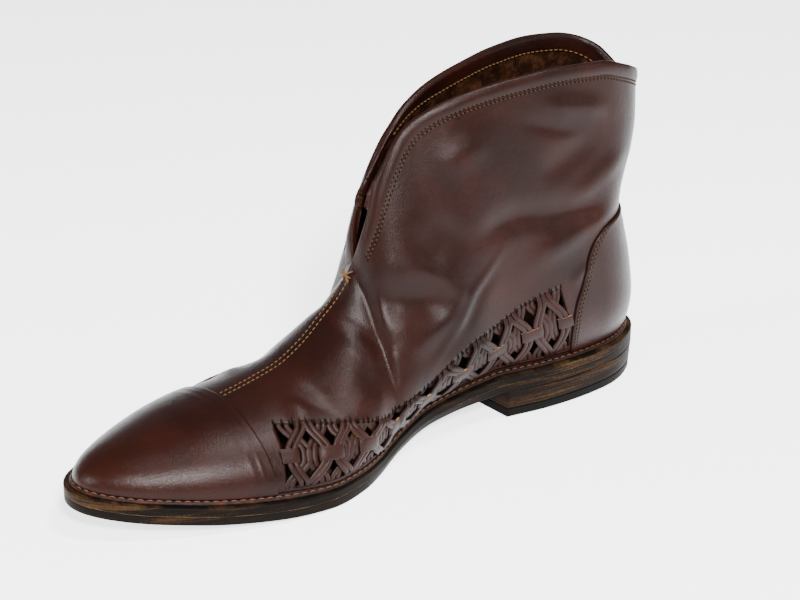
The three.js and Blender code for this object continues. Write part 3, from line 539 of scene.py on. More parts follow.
# %% Mesh helpers
def make_piece(name, points, faces, material, nodes, slot, uv=None):
    """A mesh object that rides on the boot, with one smooth material."""
    label = name.replace(" ", "_")
    mesh = bpy.data.meshes.new(label)
    mesh.from_pydata(to_frame(np.asarray(points)).tolist(), [], faces)
    mesh.materials.append(material)
    if uv is not None:
        layer = mesh.uv_layers.new(name="along")
        loops = np.empty(len(mesh.loops), int)
        mesh.loops.foreach_get("vertex_index", loops)
        layer.data.foreach_set("uv", np.asarray(uv, float)[loops].ravel())
    mesh.polygons.foreach_set("use_smooth", [True] * len(mesh.polygons))
    mesh.update()
    piece = bpy.data.objects.new(label, mesh)
    bpy.context.scene.collection.objects.link(piece)
    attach(piece, "root")
    if nodes:
        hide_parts(*nodes)
    print(name, len(mesh.polygons), "faces")
    return piece


class Sheets:
    """Collects grids of points, and joins them where they meet."""

    def __init__(self):
        self.points, self.faces, self.uv, self.count = [], [], [], 0

    def add(self, grid, flip=False, keep=None, uv=None):
        """Adds one layer; keep is a table that says which cells stay."""
        rows, columns = grid.shape[:2]
        corner = self.count + np.arange(rows * columns).reshape(rows, columns)
        quads = np.stack([corner[:-1, :-1], corner[1:, :-1], corner[1:, 1:], corner[:-1, 1:]], -1)
        quads = quads[keep] if keep is not None else quads.reshape(-1, 4)
        self.faces.append(quads[:, ::-1] if flip else quads)
        self.points.append(grid.reshape(-1, 3))
        self.uv.append(np.zeros((rows * columns, 2)) if uv is None else uv.reshape(-1, 2))
        self.count += rows * columns

    def joined(self):
        """Points that coincide become one. Walls between two halves and faces that vanish are dropped."""
        points, uv = np.concatenate(self.points), np.concatenate(self.uv)
        key = np.round(points * 2000).astype(np.int64) + 2_000_000
        key = (key[:, 0] * 4_000_000 + key[:, 1]) * 4_000_000 + key[:, 2]
        _, first, index = np.unique(key, return_index=True, return_inverse=True)
        quads = index.ravel()[np.concatenate(self.faces)]
        _, group, copies = np.unique(np.sort(quads, axis=1), axis=0, return_inverse=True, return_counts=True)
        quads = quads[copies[group.ravel()] == 1]
        same = quads == np.roll(quads, 1, axis=1)
        pinched = same.any(1) | (quads[:, 0] == quads[:, 2]) | (quads[:, 1] == quads[:, 3])
        faces = quads[~pinched].tolist()
        for quad, double in zip(quads[pinched].tolist(), same[pinched].tolist()):
            corners = [c for c, twice in zip(quad, double) if not twice]
            if len(set(corners)) == len(corners) >= 3:
                faces.append(corners)
        return points[first], faces, uv[first]


def add_shell(sheets, outer, inner, flip, keep=None):
    """Outer and inner layers with a rim round every open edge of the kept cells."""
    rows, columns = outer.shape[:2]
    kept = np.ones((rows - 1, columns - 1), bool) if keep is None else keep
    sheets.add(outer, flip, kept)
    sheets.add(inner, not flip, kept)
    padded = np.pad(kept, 1)
    open_edges = [(padded[1:-1, :-2], (0, 0), (1, 0)), (padded[1:-1, 2:], (1, 1), (0, 1)),
                  (padded[:-2, 1:-1], (0, 1), (0, 0)), (padded[2:, 1:-1], (1, 0), (1, 1))]
    for beyond, start, end in open_edges:
        cells = np.argwhere(kept & ~beyond)
        if len(cells):
            a, b = tuple((cells + start).T), tuple((cells + end).T)
            corners = np.stack([outer[a], outer[b], inner[b], inner[a]], 1)
            quads = sheets.count + np.arange(len(corners) * 4).reshape(-1, 4)
            sheets.faces.append(quads if flip else quads[:, ::-1])
            sheets.points.append(corners.reshape(-1, 3))
            sheets.uv.append(np.zeros((len(corners) * 4, 2)))
            sheets.count += len(corners) * 4


def sheet_piece(name, sheets, material, node, replaces=True, along=False):
    """The sheets as one piece; along keeps the coordinates that run with the streaks of an edge."""
    points, faces, uv = sheets.joined()
    return make_piece(name, points, faces, material, [node] if replaces else [], node, uv if along else None)


print("mesh helpers ready")

# %% [markdown]
# ## Shader maths as plain expressions
#
# A material is a small program. Wiring nodes one by one hides what it says, so a class wraps a socket and
# lets Python's own operators add the nodes: `1 - mask` becomes a Math node. Colours are mixed, because a
# Math node would turn them grey.


# %% A socket that can be used in sums
class Value:
    """A number that varies over the surface."""

    def __init__(self, maker, socket):
        self.maker, self.socket = maker, socket

    def math(self, operation, *others, swap=False):
        terms = [self, *others]
        if swap:
            terms.reverse()
        inputs = dict(enumerate(terms))
        return self.maker.add("ShaderNodeMath", {"operation": operation}, inputs)

    def __add__(self, other):
        return self.math("ADD", other)

    __radd__ = __add__

    def __sub__(self, other):
        return self.math("SUBTRACT", other)

    def __rsub__(self, other):
        return self.math("SUBTRACT", other, swap=True)

    def __mul__(self, other):
        return self.math("MULTIPLY", other)

    __rmul__ = __mul__

    def __truediv__(self, other):
        return self.math("DIVIDE", other)

    def __rtruediv__(self, other):
        return self.math("DIVIDE", other, swap=True)

    def __pow__(self, other):
        return self.math("POWER", other)

    def between(self, low, high):
        """0 below low, 1 above high, and smooth between."""
        settings = {"interpolation_type": "SMOOTHSTEP", "clamp": True}
        return self.maker.add("ShaderNodeMapRange", settings, {"Value": self, "From Min": low, "From Max": high})


class Finish:
    """A material being made, and the nodes that its expressions add."""

    def __init__(self, name, colour, roughness, specular=0.11):
        self.material = bpy.data.materials.new(name)
        self.material.use_nodes = True
        self.tree = self.material.node_tree
        self.shader = self.tree.nodes["Principled BSDF"]
        constants = {"Base Color": (*colour, 1), "Roughness": roughness, "Specular IOR Level": specular}
        for socket, value in constants.items():
            self.shader.inputs[socket].default_value = value
        self.place = self.add("ShaderNodeTexCoord", {}, {}, "Object")
        self.along = self.add("ShaderNodeTexCoord", {}, {}, "UV")

    def add(self, kind, settings, inputs, output=0):
        """Any node: its settings first, then the values or links of its sockets."""
        node = self.tree.nodes.new(kind)
        for key, value in settings.items():
            setattr(node, key, value)
        for socket, value in inputs.items():
            if isinstance(value, Value):
                self.tree.links.new(value.socket, node.inputs[socket])
            else:
                node.inputs[socket].default_value = value
        return Value(self, node.outputs[output])

    def scaled(self, vector, scale):
        return self.add("ShaderNodeVectorMath", {"operation": "MULTIPLY"}, {0: vector, 1: scale})

    def noise(self, scale, detail, rough, vector=None, stretch=None):
        """Cloudy values from 0 to 1 round the object, or along an edge where its coordinates are given."""
        vector = vector or self.place
        if stretch:
            vector = self.scaled(vector, stretch)
        inputs = {"Vector": vector, "Scale": scale, "Detail": detail, "Roughness": rough}
        return self.add("ShaderNodeTexNoise", {}, inputs, "Fac")

    def mix(self, low, high, factor):
        """From one colour to another. Sockets 6 and 7 of a Mix node, and its output 2, are the colours."""
        low, high = (colour if isinstance(colour, Value) else (*colour, 1) for colour in (low, high))
        settings = {"data_type": "RGBA", "clamp_factor": True}
        return self.add("ShaderNodeMix", settings, {0: factor, 6: low, 7: high}, 2)

    def feed(self, socket, value):
        self.tree.links.new(value.socket, self.shader.inputs[socket])

    def bump(self, height, distance, strength):
        inputs = {"Height": height, "Distance": distance, "Strength": strength}
        self.feed("Normal", self.add("ShaderNodeBump", {}, inputs))


print("shader helper ready")

# %% [markdown]
# ## Leather
#
# The upper is a smooth calf leather, stained dark brown over red and waxed. Close up it has fine pores,
# which break a highlight into a soft sparkle. Further off the stain is uneven: darker where wax gathers and
# redder where it has been rubbed.


# %% The waxed leather
def waxed_leather(name, dark, light, red, roughness):
    finish = Finish(name, light, roughness)
    cloud = finish.noise(22, 3, 0.55).between(0.35, 0.68)
    rubbed = finish.noise(55, 4, 0.6).between(0.5, 0.75)
    tone = finish.mix(dark, light, cloud)
    finish.feed("Base Color", finish.mix(tone, red, rubbed * 0.45))
    finish.feed("Roughness", roughness - 0.05 + finish.noise(140, 3, 0.6) * 0.14)
    pores = finish.noise(1900, 3, 0.6)
    grain = finish.noise(420, 2, 0.5)
    finish.bump(pores * 0.7 + grain * 0.45, 0.00030, 0.55)
    return finish.material


LEATHER = waxed_leather("waxed brown leather", (0.0068, 0.0018, 0.0011), (0.0128, 0.0032, 0.0019),
                        (0.0200, 0.0042, 0.0021), 0.29)
CAP_LEATHER = waxed_leather("waxed cap leather", (0.0076, 0.0018, 0.0011), (0.0138, 0.0032, 0.0018),
                            (0.0200, 0.0042, 0.0019), 0.28)
STRIP_LEATHER = waxed_leather("strip leather", (0.0080, 0.0026, 0.0018), (0.0150, 0.0046, 0.0032),
                              (0.0200, 0.0054, 0.0034), 0.36)

# %% [markdown]
# ## The margin's raw edge
#
# Where the upper turns out over the sole, the raw edge of the leather shows. It is redder than the waxed face
# and roughest round the toe, where it is pulled into small folds.

# %% The red edge of the turned-out margin
def margin_leather():
    finish = Finish("margin leather", (0.015, 0.005, 0.003), 0.5)
    forward = finish.add("ShaderNodeSeparateXYZ", {}, {"Vector": finish.place}, "Y")
    toe = 1 - forward.between(-0.12, -0.03)
    rough_edge = finish.noise(260, 4, 0.65).between(0.4, 0.7) * (0.35 + toe * 0.65)
    finish.feed("Base Color", finish.mix((0.005, 0.0020, 0.0015), (0.030, 0.0075, 0.0045), rough_edge))
    finish.bump(finish.noise(650, 4, 0.7), 0.0005, 0.6)
    return finish.material


MARGIN_LEATHER = margin_leather()

# %% [markdown]
# ## Suede, thread, painted shade and painted highlight
# #
# # The lining is suede, the inner side of a hide: matt and mottled. The painted highlight on the keepers' cut
# edges,
# # the threads, and the painted shade in needle grooves are plain colours, because each is only a fraction of a
# millimetre wide.

# %% The suede lining, the threads, and painted shade and highlight
def suede():
    finish = Finish("suede lining", (0.036, 0.014, 0.006), 0.9, specular=0.02)
    mottle = finish.noise(180, 5, 0.7).between(0.42, 0.66)
    finish.feed("Base Color", finish.mix((0.008, 0.0029, 0.0015), (0.033, 0.0120, 0.0046), mottle))
    finish.bump(finish.noise(1500, 3, 0.7), 0.0004, 0.7)
    return finish.material


SUEDE = suede()
# Painted highlight: a light colour on the keepers' upper cut edges, where light catches them.
KEEPER_EDGE_HIGHLIGHT = Finish("painted keeper edge highlight", (0.170, 0.090, 0.038), 0.6).material
# Painted shade: near black, for the stitch grooves, the line before the counter's edge and the slits above the
# windows.
SHADOW = Finish("painted stitch line and slot shade", (0.0018, 0.0012, 0.0010), 0.9, specular=0.05).material
THREAD = Finish("waxed thread", (0.085, 0.045, 0.018), 0.6).material
DARK_THREAD = Finish("dark waxed thread", (0.036, 0.018, 0.007), 0.6).material
RED_THREAD = Finish("red waxed thread", (0.085, 0.032, 0.014), 0.55).material

# %% [markdown]
# ## Stained edges
#
# The edges of the sole are leather too, dyed nearly black and waxed. Wear takes the dye off in long streaks,
# most of all round the heel and the toe. The noise is stretched along the edge, so that the streaks follow it.

# %% The stained edges of the sole and the heel
def stained_edge(name, dark, brown, amount, scale, layers=0.0):
    """Black-brown edge dressing that has worn through in streaks, mostly round the heel and the toe."""
    finish = Finish(name, dark, 0.46, specular=0.03)
    streaks = finish.noise(1, 5, 0.62, finish.along, scale)
    patches = finish.noise(1, 3, 0.5, finish.along, (scale[0] * 0.5, scale[1] * 0.2, 1))
    grains = finish.noise(900, 3, 0.7)
    forward = finish.add("ShaderNodeSeparateXYZ", {}, {"Vector": finish.place}, "Y")
    heel = forward.between(0.035, 0.085)
    toe = 1 - forward.between(-0.125, -0.075)
    worn = (streaks * 0.5 + patches * 0.4 + grains * 0.25).between(0.60 - amount, 0.80 - amount)
    worn = worn * (0.16 + heel * 0.84 + toe * 0.5)
    if layers:
        wave = finish.add("ShaderNodeTexWave", {"bands_direction": "Y"},
                          {"Vector": finish.scaled(finish.along, (6, 1, 1)), "Scale": layers,
                           "Distortion": 1.2, "Detail": 3, "Detail Scale": 2}, "Fac")
        worn = worn * (0.35 + wave * 0.9)
    finish.feed("Base Color", finish.mix(dark, brown, worn))
    finish.feed("Roughness", 0.38 + streaks * 0.25)
    finish.bump(streaks * 0.7 + grains * 0.3, 0.0002, 0.5)
    return finish.material


OUTSOLE_EDGE = stained_edge("outsole edge", (0.0036, 0.0026, 0.0019), (0.040, 0.018, 0.007), 0.05, (55, 1500, 1))
MIDSOLE_EDGE = stained_edge("midsole edge", (0.0030, 0.0022, 0.0016), (0.050, 0.024, 0.009), 0.07, (60, 1100, 1))
STACK_EDGE = stained_edge("stacked heel edge", (0.0040, 0.0026, 0.0018), (0.046, 0.021, 0.008), 0.07,
                          (45, 1200, 1), 420)
TOP_PIECE_EDGE = stained_edge("top piece edge", (0.0028, 0.0026, 0.0020), (0.006, 0.005, 0.004), 0.0,
                              (40, 700, 1))
TREAD = Finish("tread leather", (0.085, 0.040, 0.017), 0.6).material
INSOLE_LEATHER = waxed_leather("insole leather", (0.020, 0.011, 0.006), (0.031, 0.017, 0.009),
                               (0.037, 0.019, 0.010), 0.6)


def broken_colour(name, dark, light, low, high, scale, roughness=0.55):
    """A dark colour with a light one in patches: used for painted highlights along edges, broken up."""
    finish = Finish(name, dark, roughness)
    finish.feed("Base Color", finish.mix(dark, light, finish.noise(scale, 3, 0.6).between(low, high)))
    return finish.material


# Painted highlight: a thin light line along the midsole's upward-facing top corner, broken in patches over the
# dark edge colour.
CORNER_HIGHLIGHT = broken_colour("midsole corner painted highlight", (0.008, 0.005, 0.003), (0.26, 0.16, 0.075), 0.44, 0.62, 120)
# The strips' cut sides: near-black painted shade of the gaps between strips, with patches of painted highlight.
STRIP_SIDE_SHADE_AND_HIGHLIGHT = broken_colour("strip side painted shade and highlight", (0.003, 0.002, 0.0015), (0.12, 0.060, 0.022), 0.52, 0.64, 90)
print("finishes:", len(bpy.data.materials))

# %% [markdown]
# ## The sole
#
# The runner and the outsole follow the outline of the last. Their edges are trimmed square and then sanded,
# which leaves small round corners that catch the light. Along the midsole's top corner, the faces that tilt
# upward get a painted highlight: a thin light line, broken in patches.

# %% Slabs with rounded edges
SLAB_COLUMNS = 260


def closed_rings(name, material, node, rings, uv, middles):
    """A piece from rings of points, closed below and above by lines along its middle."""
    sheets = Sheets()
    sheets.add(np.array([middles[0], *rings, middles[1]]), True, None, np.array([uv[0], *uv, uv[-1]]))
    return sheet_piece(name, sheets, material, node, along=True)


def slab(name, material, node, lower, upper_level, bottom_inset, top_inset, corners=(0.5, 0.5), face=None):
    """A closed slab between two heights, with small round corners below and above."""
    sweep = np.linspace(0, 1, SLAB_COLUMNS)
    below, above = corners
    levels = [(0, below, 0), (0, below * 0.3, below * 0.3), (0, 0, below)]
    levels += [(share, 0, blend(below, -above, share)) for share in np.linspace(0.2, 0.8, 5)]
    levels += [(1, 0, -above), (1, above * 0.3, -above * 0.3), (1, above, 0)]
    grid, uv = [], []
    for share, pull, rise in levels:
        rings = []
        for side in SIDES:
            inset = blend(bottom_inset(sweep, side), top_inset(sweep, side), share) + pull
            place = inset_edge(sweep, side, inset)
            station = place[:, 1] / SOLE_LENGTH
            height = blend(lower(station), upper_level(station), share) + rise
            rings.append(np.column_stack([place, height]))
        ring = np.concatenate([rings[0], rings[1][::-1]])
        grid.append(ring)
        uv.append(ring[:, 1:] / 1000)
    middles = []
    for row, level in ((0, lower), (-1, upper_level)):
        station = grid[row][:, 1] / SOLE_LENGTH
        middles.append(np.column_stack([centre_line(station), grid[row][:, 1], level(station)]))
    piece = closed_rings(name, material, node, grid, uv, middles)
    if face is not None:
        other, low, high = face
        piece.data.materials.append(other)
        tilt = np.array([polygon.normal.z for polygon in piece.data.polygons])
        piece.data.polygons.foreach_set("material_index", ((tilt > low) & (tilt < high)).astype(int))
    return piece


def waist_bevel(sweep, side):
    station = station_of_sweep(sweep)
    return 1.6 * ease(0.3, 0.42, station) * (1 - ease(0.52, 0.66, station))


def flush(sweep, side):
    return 0 * sweep


slab("outsole", OUTSOLE_EDGE, "outsole", under_height, lambda s: under_height(s) + OUTSOLE,
     waist_bevel, flush, (0.45, 0.06), (TREAD, -1.1, -0.75))
# The midsole's top-corner faces that tilt upward get the painted corner highlight.
slab("midsole", MIDSOLE_EDGE, "midsole", lambda s: under_height(s) + OUTSOLE + 0.02, sole_top, flush, flush,
     (0.06, 0.55), (CORNER_HIGHLIGHT, 0.3, 0.93))

# %% [markdown]
# ## The heel
#
# The heel is a stack of leather lifts over a dark top piece. It ends in a straight breast under the waist,
# so its outline is the sole's outline cut off there, and it tapers slightly towards the floor.

# %% The heel's two blocks
HEEL_TAPER = 0.6


def heel_block(name, material, node, low, high, bottom_inset, top_inset, corner=0.4):
    """A slab of the heel: round behind and cut straight at the breast."""
    sweep = np.linspace(0, 1, 110) * sweep_of_station(HEEL_LENGTH / SOLE_LENGTH)
    profile = [(corner, low), (corner * 0.3, low + corner * 0.3), (0, low + corner)]
    profile += [(0, blend(low, high, share)) for share in (0.25, 0.4, 0.55, 0.7, 0.85)]
    profile += [(0, high - corner), (corner * 0.3, high - corner * 0.3), (corner, high)]
    grid, uv = [], []
    for pull, height in profile:
        inset = blend(bottom_inset, top_inset, (height - low) / (high - low)) + pull
        rings = [inset_edge(sweep, side, inset) for side in SIDES]
        ring = np.concatenate([rings[0], rings[1][::-1], rings[0][:1]])
        ring[:, 1] = np.minimum(ring[:, 1], HEEL_LENGTH - pull)
        grid.append(np.column_stack([ring, np.full(len(ring), height)]))
        uv.append(np.column_stack([ring[:, 1] / 1000 + ring[:, 0] / 1400, np.full(len(ring), height / 1000)]))
    middles = [grid[row] * (0, 1, 0) + (centre_line(0), 0, height) for row, height in ((0, low), (-1, high))]
    return closed_rings(name, material, node, grid, uv, middles)


heel_block("heel top piece", TOP_PIECE_EDGE, "heel_top_piece", 0, TOP_PIECE, HEEL_TAPER * 1.3, HEEL_TAPER)
heel_block("heel stack", STACK_EDGE, "heel_stack", TOP_PIECE + CLEARANCE * 0.3,
           TOP_PIECE + 2 * CLEARANCE + HEEL_STACK - 0.05, HEEL_TAPER, 0.0)

# %% [markdown]
# ## The insole
#
# Looking down into the boot, the foot rests on a thin leather insole that fills the floor of the upper.

# %% The insole
slab("insole", INSOLE_LEATHER, "insole", lambda s: sole_top(s) + CLEARANCE,
     lambda s: sole_top(s) + CLEARANCE + 2.4, lambda sweep, side: margin_at(sweep, side) + WALL + 0.5,
     lambda sweep, side: margin_at(sweep, side) + WALL + 2.0)

# %% [markdown]
# ## The upper
#
# The wall is one skin on the last, with a window left out along each side. Its foot turns out over the sole
# as a margin that is stitched down. Rows of points follow the window's edges exactly, so that the openings
# are clean, and the lining is a second skin inside.

# %% Rows and ribs of the wall
RIB_COUNT = 264
LOW_ROWS, BAND_ROWS, HIGH_ROWS = 4, 14, (76)
SKIN = 1.1


def rib_list():
    ribs = np.linspace(0, 1, RIB_COUNT)
    for stop in (WINDOW_REAR, WINDOW_FRONT, CAP_RIB, SLIT_RIB):
        ribs[np.argmin(np.abs(ribs - stop))] = stop
    return ribs


RIBS = rib_list()


def up_at_height(side, rib, above):
    """How far up each rib a height above the feather line is reached."""
    shares = np.linspace(0, 1, 241)
    heights = body_point(side, rib[:, None], shares[None, :])[..., 2]
    targets = heights[:, 0] + above
    return np.array([np.interp(t, h, shares) for t, h in zip(targets, heights)])


def window_top(side, rib):
    """The window's upper edge as a share of the rib, carried on over the toe."""
    inner = np.minimum(rib, CAP_RIB)
    sweep = RIB_FEET["sweep"](inner)
    foot = inset_edge(sweep, side, margin_at(sweep, side))[:, 1] / SOLE_LENGTH
    share = up_at_height(side, inner, WINDOW_HEIGHT[SIDE_NAMES[side]](foot) * INSTEP_RISE)
    return blend(share, NOSE_ROW, ease(CAP_RIB, 1, rib))


def wall_rows(side, rib):
    """Shares up each rib: foot, sill, window band, then the wall above it."""
    sill = up_at_height(side, rib, np.full(rib.shape, WINDOW_SILL))[:, None]
    top = window_top(side, rib)[:, None]
    low = np.linspace(0, 1, LOW_ROWS + 1)[None, :-1] * sill
    band = sill + (top - sill) * np.linspace(0, 1, BAND_ROWS + 1)[None, :-1]
    high = top + (1 - top) * np.linspace(0, 1, HIGH_ROWS + 1)[None, :]
    return np.concatenate([low, band, high], 1)

# %% [markdown]
# ## The turned-out margin
#
# The margin lies flat on the sole and has a square outer edge. The stitches that hold the sole run along it.
# It shares its first rows with the wall, so the bend between them is smooth.

# %% The turned-out margin joins the wall
FLANGE = 1.5
BARE_EDGE = 2.4


def margin_rows(side, rib):
    """Points from under the margin's edge, round it, and in to the foot of the wall."""
    sweep = RIB_FEET["sweep"](rib)
    margin = margin_at(sweep, side)
    edge = np.minimum(BARE_EDGE, margin * 0.5)
    profile = [(edge + 0.3, 0.0), (edge, 0.25), (edge + 0.05, FLANGE - 0.75), (edge + 0.35, FLANGE - 0.25)]
    rows = []
    for inset, lift in profile:
        place = inset_edge(sweep, side, inset)
        rows.append(np.stack([place[:, 0], place[:, 1],
                              sole_top(place[:, 1] / SOLE_LENGTH) + CLEARANCE * 0.5 + lift], -1))
    for share in (0.45, 0.7, 0.88):
        inset = blend(edge, margin, share)
        place = inset_edge(sweep, side, inset)
        lift = FLANGE + 0.15 * math.sin(share * math.pi)
        rows.append(np.stack([place[:, 0], place[:, 1],
                              sole_top(place[:, 1] / SOLE_LENGTH) + CLEARANCE * 0.5 + lift], -1))
    return np.stack(rows, 1)


def build_upper():
    wall, margin, lining = Sheets(), Sheets(), Sheets()
    rear, front = np.argmax(RIBS == WINDOW_REAR), np.argmax(RIBS == WINDOW_FRONT)
    outside_window = np.ones((RIB_COUNT - 1, LOW_ROWS + BAND_ROWS + HIGH_ROWS), bool)
    outside_window[rear:front, LOW_ROWS:LOW_ROWS + BAND_ROWS] = False

    for side in SIDES:
        rows = wall_rows(side, RIBS)
        outer = leather_point(side, RIBS[:, None], rows)
        middle = leather_point(side, RIBS[:, None], rows, -SKIN)
        inner = leather_point(side, RIBS[:, None], rows, -WALL)
        flip = side > 0
        add_shell(wall, outer, middle, flip, outside_window)
        add_shell(lining, middle, inner, flip, outside_window)
        edge = margin_rows(side, RIBS)
        margin.add(np.concatenate([edge, outer[:, :2]], 1), flip)
    return wall, margin, lining


wall, margin, lining = build_upper()
sheet_piece("upper leather", wall, LEATHER, "upper")
sheet_piece("turned-out margin", margin, MARGIN_LEATHER, "upper")
sheet_piece("lining", lining, SUEDE, "upper")

# %% [markdown]
# ## Overlays
#
# The cap, the counter and the back stay are second layers of leather. Each follows the wall a little
# further out, and its edge is pared thin and rolls down onto the wall.


# %% The toe cap
CAP_THICKNESS = 1.0
CAP_ROLL = 0.0035
BURIED = -0.25
CAP_RIBS = CAP_RIB + (1 - CAP_RIB) * np.concatenate([np.linspace(0, 0.014, 6)[:-1],
                                                    np.linspace(0.014, 1, 190)])


def build_cap():
    sheets = Sheets()
    ribs = CAP_RIBS[:, None]
    ups = np.linspace(0.0, 1, 110)[None, :] ** 1.15
    out = CAP_THICKNESS * (0.12 + 0.88 * rounded(1 - (ribs - CAP_RIB) / CAP_ROLL))
    for side in SIDES:
        add_shell(sheets, leather_point(side, ribs, ups, out), leather_point(side, ribs, ups, BURIED), side > 0)
    return sheet_piece("toe cap", sheets, CAP_LEATHER, "toe_cap")


build_cap()

# %% [markdown]
# ## The counter
#
# The counter wraps the heel and ends in a slanting edge on each side. Its grid runs from the back to that
# edge, so the edge is as clean as the one that a knife leaves.

# %% The heel counter
COUNTER_EDGE = curve_through([-0.05, 0.012, 0.062, 0.117, 0.183, 0.258, 0.312, 0.425, 0.508],
                             [0.258, 0.258, 0.257, 0.252, 0.238, 0.212, 0.198, 0.150, 0.040])
COUNTER_TOP = 0.512


def counter_grid(side, out):
    ups = np.linspace(0.0, COUNTER_TOP, 120)
    reach = np.concatenate([np.linspace(0, 0.97, 60), [0.98, 0.987, 0.993, 0.997, 1.0]])
    ribs = COUNTER_EDGE(ups)[None, :] * reach[:, None]
    rolled = rounded((reach[:, None] - 0.975) / 0.025)
    top = rounded((ups[None, :] - COUNTER_TOP + 0.008) / 0.008)
    return leather_point(side, ribs, np.repeat(ups[None, :], len(reach), 0), out * rolled * top - 0.05)


counter = Sheets()
for side in SIDES:
    add_shell(counter, counter_grid(side, 1.05), counter_grid(side, -0.3), side > 0)
sheet_piece("heel counter", counter, LEATHER, "heel_counter")

# %% [markdown]
# ## Distances along the leather
#
# A hem and its stitches keep an even distance from an edge, whatever the shape of the surface. So the
# distance to the edge is measured on the folded leather, and turned back into a share of the rib.

# %% Measuring from the top edge
EDGE_RIBS = np.linspace(0, SLIT_RIB, 170)
EDGE_DISTANCES = np.linspace(0, 17, 86)


def measure_edge(side):
    """A table of the share up each rib at each distance below the top edge."""
    shares = np.linspace(1, 0.45, 170)
    edge = leather_point(side, np.linspace(0, SLIT_RIB, 260), np.ones(260))
    places = leather_point(side, EDGE_RIBS[:, None], shares[None, :])
    rows = []
    for row in places:
        gaps = np.linalg.norm(row[:, None] - edge[None], axis=2).min(1)
        rows.append(np.interp(EDGE_DISTANCES, np.maximum.accumulate(gaps), shares))
    return np.array(rows)


EDGE_TABLES = {side: measure_edge(side) for side in SIDES}


def up_at_distance(side, ribs, distances):
    """Share up each rib at each distance below the top edge."""
    ribs, distances = np.broadcast_arrays(np.asarray(ribs, float), distances)
    row = np.clip(ribs / EDGE_RIBS[1], 0, len(EDGE_RIBS) - 1.001)
    column = np.clip(distances / EDGE_DISTANCES[1], 0, len(EDGE_DISTANCES) - 1.001)
    i, j = row.astype(int), column.astype(int)
    grid = EDGE_TABLES[side]
    near = blend(grid[i, j], grid[i, j + 1], column - j)
    return blend(near, blend(grid[i + 1, j], grid[i + 1, j + 1], column - j), row - i)

# %% [markdown]
# ## The hem
#
# The collar is finished with a folded band. It is one section, from its outer foot over the edge and down to
# the facing inside, that is carried along the collar and down the slit.

# %% The collar's hem
HEM_WIDTH = 5.6
FACING_DEPTH = 8.0
SLIT_FACING = 2.4
HEM_RIBS = np.concatenate([np.linspace(0, 0.5, 180), np.linspace(0.5, SLIT_RIB - 0.001, 34)[1:]])


def facing_depth(ribs):
    """How far down the inside the facing reaches: less beside the slit."""
    return SLIT_FACING + (FACING_DEPTH - SLIT_FACING) * (1 - ease(0.30, 0.44, ribs))


def hem_section(side):
    """Rows of points from the hem's outer foot, over the edge, to the foot of the inner facing."""
    distances = np.array([HEM_WIDTH, HEM_WIDTH - 0.5, 4.3, 3.1, 1.9, 0.9, 0.25])
    taper = 1 - 0.9 * ease(SLIT_RIB - 0.035, SLIT_RIB, HEM_RIBS)[:, None]
    taper = taper * (0.6 + 0.4 * ease(0.02, 0.12, HEM_RIBS)[:, None])
    bulge = taper * np.array([0.04, 0.35, 0.75, 0.90, 0.82, 0.62, 0.30])
    ups = up_at_distance(side, HEM_RIBS[:, None], distances[None, :])
    outer = leather_point(side, HEM_RIBS[:, None], ups, bulge)
    top = leather_point(side, HEM_RIBS, np.ones(len(HEM_RIBS)), -WALL / 2)
    below = leather_point(side, HEM_RIBS, up_at_distance(side, HEM_RIBS, 2.0), -WALL / 2)
    lift = top - below
    lift /= np.linalg.norm(lift, axis=1, keepdims=True)
    crown = np.stack([leather_point(side, HEM_RIBS, np.ones(len(HEM_RIBS)), out) + lift * rise
                      for out, rise in ((0.0, 0.15), (-0.7, 0.35), (-1.5, 0.25), (-2.3, -0.1))], 1)
    depth = facing_depth(HEM_RIBS)[:, None] * np.array([0.08, 0.22, 0.4, 0.62, 0.85, 0.96, 1.0])
    shares = up_at_distance(side, HEM_RIBS[:, None], depth)
    facing = leather_point(side, HEM_RIBS[:, None], shares,
                           np.array([-2.7, -2.75, -2.75, -2.75, -2.7, -2.55, -2.05])[None, :])
    return np.concatenate([outer, crown, facing], 1)


hem = Sheets()
for side in SIDES:
    hem.add(hem_section(side), side > 0)
sheet_piece("collar hem", hem, LEATHER, "collar_hem")
print("hem wraps", len(HEM_RIBS), "ribs on each side")

# %% [markdown]
# ## The back stay
#
# A narrow strip covers the seam at the back of the leg. It runs from the hem down and under the counter,
# which hides its lower end.

# %% The back stay
STAY_WIDTH = 18.0
STAY_FOOT = 0.49


def build_stay():
    sheets = Sheets()
    for side in SIDES:
        ribs = np.linspace(0, 0.12, 60)
        top = up_at_distance(side, ribs, HEM_WIDTH + 0.1)
        rows = np.linspace(0, 1, 90)
        ups = STAY_FOOT + (top[:, None] - STAY_FOOT) * rows[None, :]
        places = leather_point(side, ribs[:, None], ups)
        steps = np.linalg.norm(np.diff(places, axis=0), axis=2)
        travel = np.concatenate([np.zeros((1, len(rows))), np.cumsum(steps, axis=0)])
        across = np.concatenate([np.linspace(0, 0.9, 16), [0.94, 0.965, 0.985, 1.0]]) * STAY_WIDTH / 2
        rib_grid = np.stack([np.interp(across, travel[:, j], ribs) for j in range(len(rows))], 1)
        up_grid = np.stack([np.interp(rib_grid[:, j], ribs, ups[:, j]) for j in range(len(rows))], 1)
        rolled = rounded((across / (STAY_WIDTH / 2) - 0.93) / 0.07)[:, None]
        out = rolled * (0.3 + 0.7 * ease(0.508, 0.53, up_grid))
        outer = leather_point(side, rib_grid, up_grid, out)
        inner = leather_point(side, rib_grid, up_grid, -0.2)
        add_shell(sheets, outer, inner, side > 0)
    return sheet_piece("back stay", sheets, LEATHER, "back_stay")


build_stay()

# %% [markdown]
# ## The woven windows
#
# The window's leather is slit into pairs of narrow strips. The pairs in front are pinched together under a
# short keeper, and the pairs behind bow out round it. Each strip is a small bar swept along its path. Its cut
# sides are near-black painted shade of the gaps between strips, with patches of painted highlight, and the
# keepers' upper cut edges get a light painted highlight.

